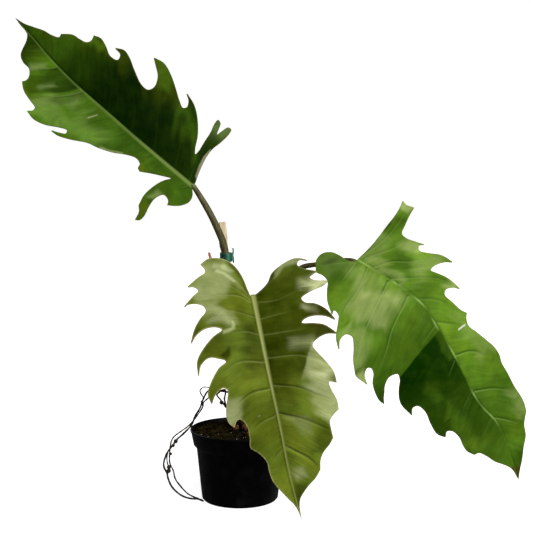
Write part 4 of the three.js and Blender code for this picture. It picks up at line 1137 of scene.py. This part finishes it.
def makeSoil(form, material):
    rings = form["rings"]
    profile = form["side"] + [(form["radius"] * ring / rings, form["edge"]) for ring in range(rings, -1, -1)]
    bm = turnedMesh(profile, form["sides"])
    for vert in bm.verts:
        if vert.co.z > (form["edge"] - form["topWithin"]) * mm:
            x, y = vert.co.x / mm, vert.co.y / mm
            inside = min(1, (form["radius"] - math.hypot(x, y)) / form["roughEdge"])
            rough = noise.fractal(Vector((x, y, 0)) * form["roughScale"], *form["roughShape"])
            vert.co.z = (soilHeight(x, y) + rough * form["rough"] * inside) * mm
    linkPiece("soilMass", meshFrom(bm, "soil"), [material], ["soil"])


def scatterCrumbs(name, form, material):
    draw = random.Random(form["seed"])
    uneven = crumbShape["uneven"]
    bm = bmesh.new()
    for _ in range(form["count"]):
        size = draw.uniform(*form["sizes"]) * mm
        angle, reach = draw.uniform(0, math.tau), form["spread"] * math.sqrt(draw.random())
        x, y = reach * math.cos(angle), reach * math.sin(angle)
        made = bmesh.ops.create_icosphere(bm, subdivisions=1, radius=size)
        for vert in made["verts"]:
            vert.co *= 1 + draw.uniform(-uneven, uneven)
        turn = Matrix.Rotation(draw.uniform(0, math.tau), 4, "Z")
        squash = Matrix.Diagonal((1, draw.uniform(crumbShape["slimmest"], 1), crumbShape["flat"], 1))
        seat = Vector((x, y, soilHeight(x, y))) * mm + Vector((0, 0, size * crumbShape["raise"]))
        bmesh.ops.transform(bm, matrix=Matrix.Translation(seat) @ (turn @ squash), verts=made["verts"])
    linkPiece(name, meshFrom(bm, name), [material])


def makeHusk(index, place, size, turn, material):
    bm = bmesh.new()
    bmesh.ops.create_cube(bm, size=mm)
    bmesh.ops.bevel(bm, geom=bm.edges, offset=huskForm["bevel"] * mm, offset_type="OFFSET", segments=2,
                    profile=0.5, affect="EDGES", material=-1)
    bmesh.ops.subdivide_edges(bm, edges=bm.edges, cuts=1, use_grid_fill=True)
    shape = Matrix.Rotation(turn, 4, "Z") @ Matrix.Diagonal((*size, 1))
    bmesh.ops.transform(bm, matrix=shape, verts=bm.verts)
    for vert in bm.verts:
        spot = vert.co / mm * huskForm["roughScale"] + Vector((index * huskForm["apart"], 0, 0))
        vert.co += noise.noise_vector(spot) * huskForm["rough"] * mm
    seat = max(soilHeight(place[0] + v.co.x / mm, place[1] + v.co.y / mm) - v.co.z / mm for v in bm.verts)
    bmesh.ops.translate(bm, verts=bm.verts, vec=Vector((*place, seat - huskForm["sink"])) * mm)
    mesh = meshFrom(bm, "husk")
    linkPiece("huskChunk" + str(index), mesh, [material], ["husk_chunk_" + str(index)])


soilMaterial = soilFinish(soilSkin)
makeSoil(soilForm, soilMaterial)
scatterCrumbs("soilCrumbs", crumbForm, soilMaterial)
scatterCrumbs("perlite", perliteForm, grainFinish("perliteGrain", perliteSkin))
huskMaterial = grainFinish("huskFibre", huskSkin)
for index, chunk in enumerate(huskForm["chunks"], 1):
    makeHusk(index, *chunk, huskMaterial)
print("soil filled")


# Roots in the air: strands are [radius, path], clumps [x, y, z, radius]

rootForm = {
    "strands": [
        (1.15, [(-4, -2, 124), (-12, -4, 129), (-24, -8, 132), (-37, -11, 133), (-43, -12, 124),
                (-47, -13, 113), (-53, -14, 103), (-57, -15, 93), (-66, -16, 83), (-74, -17, 76),
                (-80, -18, 68), (-86, -19, 60), (-90, -20, 49), (-90, -20, 43), (-86.5, -19, 35),
                (-85.5, -18, 29), (-81, -15, 17), (-70, -11, 5.5), (-60, -10, 1.6), (-50, -12, 1.5),
                (-43.5, -19.5, 1.5)]),
        (0.9, [(-26, -9, 132), (-33, -13, 128), (-37, -14, 125), (-43, -13.5, 119), (-44, -14.5, 114),
               (-49, -15.5, 106), (-55, -16, 98), (-63, -17, 90), (-69, -18, 86), (-79, -19, 78),
               (-82, -20, 70),
               (-83, -20, 60), (-83, -20, 48), (-79, -19, 38), (-77, -16, 27.5), (-71, -12, 17), (-63, -8, 7),
               (-55, -7, 2.2), (-49.5, -9.5, 1.3)]),
        (0.7, [(-24, -8, 133), (-36, -12, 137), (-43, -13, 137.5), (-47, -14, 134), (-46, -14, 130),
               (-43, -12.5, 125)]),
        (0.8, [(-85, -19, 61), (-86, -21, 57), (-86, -22, 50), (-84, -21, 41), (-86, -19, 36)]),
        (1.1, [(-23, -8, 132.5), (-17, -12, 134), (-17, -13, 129), (-18, -14, 124), (-16, -15, 114)]),
        (1.0, [(-24, -9, 131), (-27, -12, 128), (-23, -13, 123), (-20, -14, 119), (-16, -15, 113)]),
    ],
    "clumps": [(-76, -18, 73.5, 2.4), (-79, -18.5, 68.5, 2), (-81.8, -20.5, 59, 1.6), (-84, -20.5, 43, 2.4),
               (-84.5, -19.5, 38, 2.6), (-45, -12.5, 120, 1.5), (-21.5, -14, 119.5, 2.5)],
    "steps": 10, "round": 2, "swell": 0.3, "swellScale": 0.35, "uneven": 0.35, "unevenScale": 1.1,
}
rootSkin = {"grain": (900, 4), "spread": (0.35, 0.7), "tones": ((12, 10, 7), (52, 46, 38)),
            "roughness": 0.85, "gloss": 0.02, "bump": (0.0006, 0.8)}


def makeRoots(form, material):
    tubes = []
    for radius, path in form["strands"]:
        line = smoothLine(path, form["steps"])
        swell = [1 + form["swell"] * noise.noise(Vector(point) * form["swellScale"]) for point in line]
        tubes.append((line, [radius * grown for grown in swell]))
    mesh = tubeMesh("roots", tubes, form["round"])
    bm = bmesh.new()
    bm.from_mesh(mesh)
    for x, y, z, radius in form["clumps"]:
        centre = Vector((x, y, z))
        made = bmesh.ops.create_icosphere(bm, subdivisions=3, radius=radius * mm)
        for vert in made["verts"]:
            vert.co *= 1 + form["uneven"] * noise.noise(vert.co / mm * form["unevenScale"] + centre)
        bmesh.ops.translate(bm, verts=made["verts"], vec=centre * mm)
    bm.to_mesh(mesh)
    bm.free()
    linkPiece("airRoots", mesh, [material], ["aerial_roots"])


makeRoots(rootForm, grainFinish("rootSkin", rootSkin))
print("roots strung")


# Floor, world and lights

studio = {"floor": 6, "floorDrop": 0.0002, "floorGlow": 0.84, "floorAlbedo": 0.3, "floorRoughness": 0.9,
          "surround": 0.12, "plantMiddle": (0.04, -0.05, 0.28),
          "key": {"from": (0.5, -0.68, 0.54), "power": 9, "spread": 75},
          "back": {"place": (-1.3, 1.5, 1.0), "size": 1.2, "power": 22},
          "fill": {"place": (0.9, -1.7, 0.1), "size": 1, "power": 22}}
white = (1, 1, 1, 1)


def makeFloor(setup):
    bm = bmesh.new()
    bmesh.ops.create_grid(bm, x_segments=1, y_segments=1, size=setup["floor"])
    floor = linkObject("floor", meshFrom(bm, "floor"))
    floor.location.z = -setup["floorDrop"]
    finish = Finish("paleFloor")
    finish.sockets(Base_Color=(*[setup["floorAlbedo"]] * 3, 1), Roughness=setup["floorRoughness"],
                   Specular_IOR_Level=0, Emission_Color=white, Emission_Strength=setup["floorGlow"])
    floor.data.materials.append(finish.material)
    floor.visible_diffuse = False
    floor.visible_glossy = False


def makeWorld(setup):
    world = bpy.data.worlds.new("studio")
    world.use_nodes = True
    bpy.context.scene.world = world
    tree = world.node_tree
    plain = tree.nodes["Background"]
    plain.inputs["Color"].default_value = white
    plain.inputs["Strength"].default_value = setup["surround"]
    seen = tree.nodes.new("ShaderNodeBackground")
    seen.inputs["Color"].default_value = white
    path = tree.nodes.new("ShaderNodeLightPath")
    mix = tree.nodes.new("ShaderNodeMixShader")
    for i, source in enumerate((path.outputs["Is Camera Ray"], plain.outputs[0], seen.outputs[0])):
        tree.links.new(source, mix.inputs[i])
    tree.links.new(mix.outputs[0], tree.nodes["World Output"].inputs["Surface"])


def linkLight(name, data, place, aim):
    light = linkObject(name, data)
    light.location = place
    light.rotation_euler = (Vector(aim) - light.location).to_track_quat("-Z", "Y").to_euler()


def makeSun(name, setup):
    data = bpy.data.lights.new(name, "SUN")
    data.energy = setup["power"]
    data.angle = math.radians(setup["spread"])
    linkLight(name, data, Vector(setup["from"]), (0, 0, 0))


def makePanel(name, setup, aim):
    data = bpy.data.lights.new(name, "AREA")
    data.shape = "SQUARE"
    data.size = setup["size"]
    data.energy = setup["power"]
    linkLight(name, data, setup["place"], aim)


makeFloor(studio)
makeWorld(studio)
makeSun("key", studio["key"])
for name in ("back", "fill"):
    makePanel(name, studio[name], studio["plantMiddle"])
bpy.context.scene.view_settings.view_transform = "Standard"
bpy.context.scene.view_settings.look = "None"
print("studio lit")
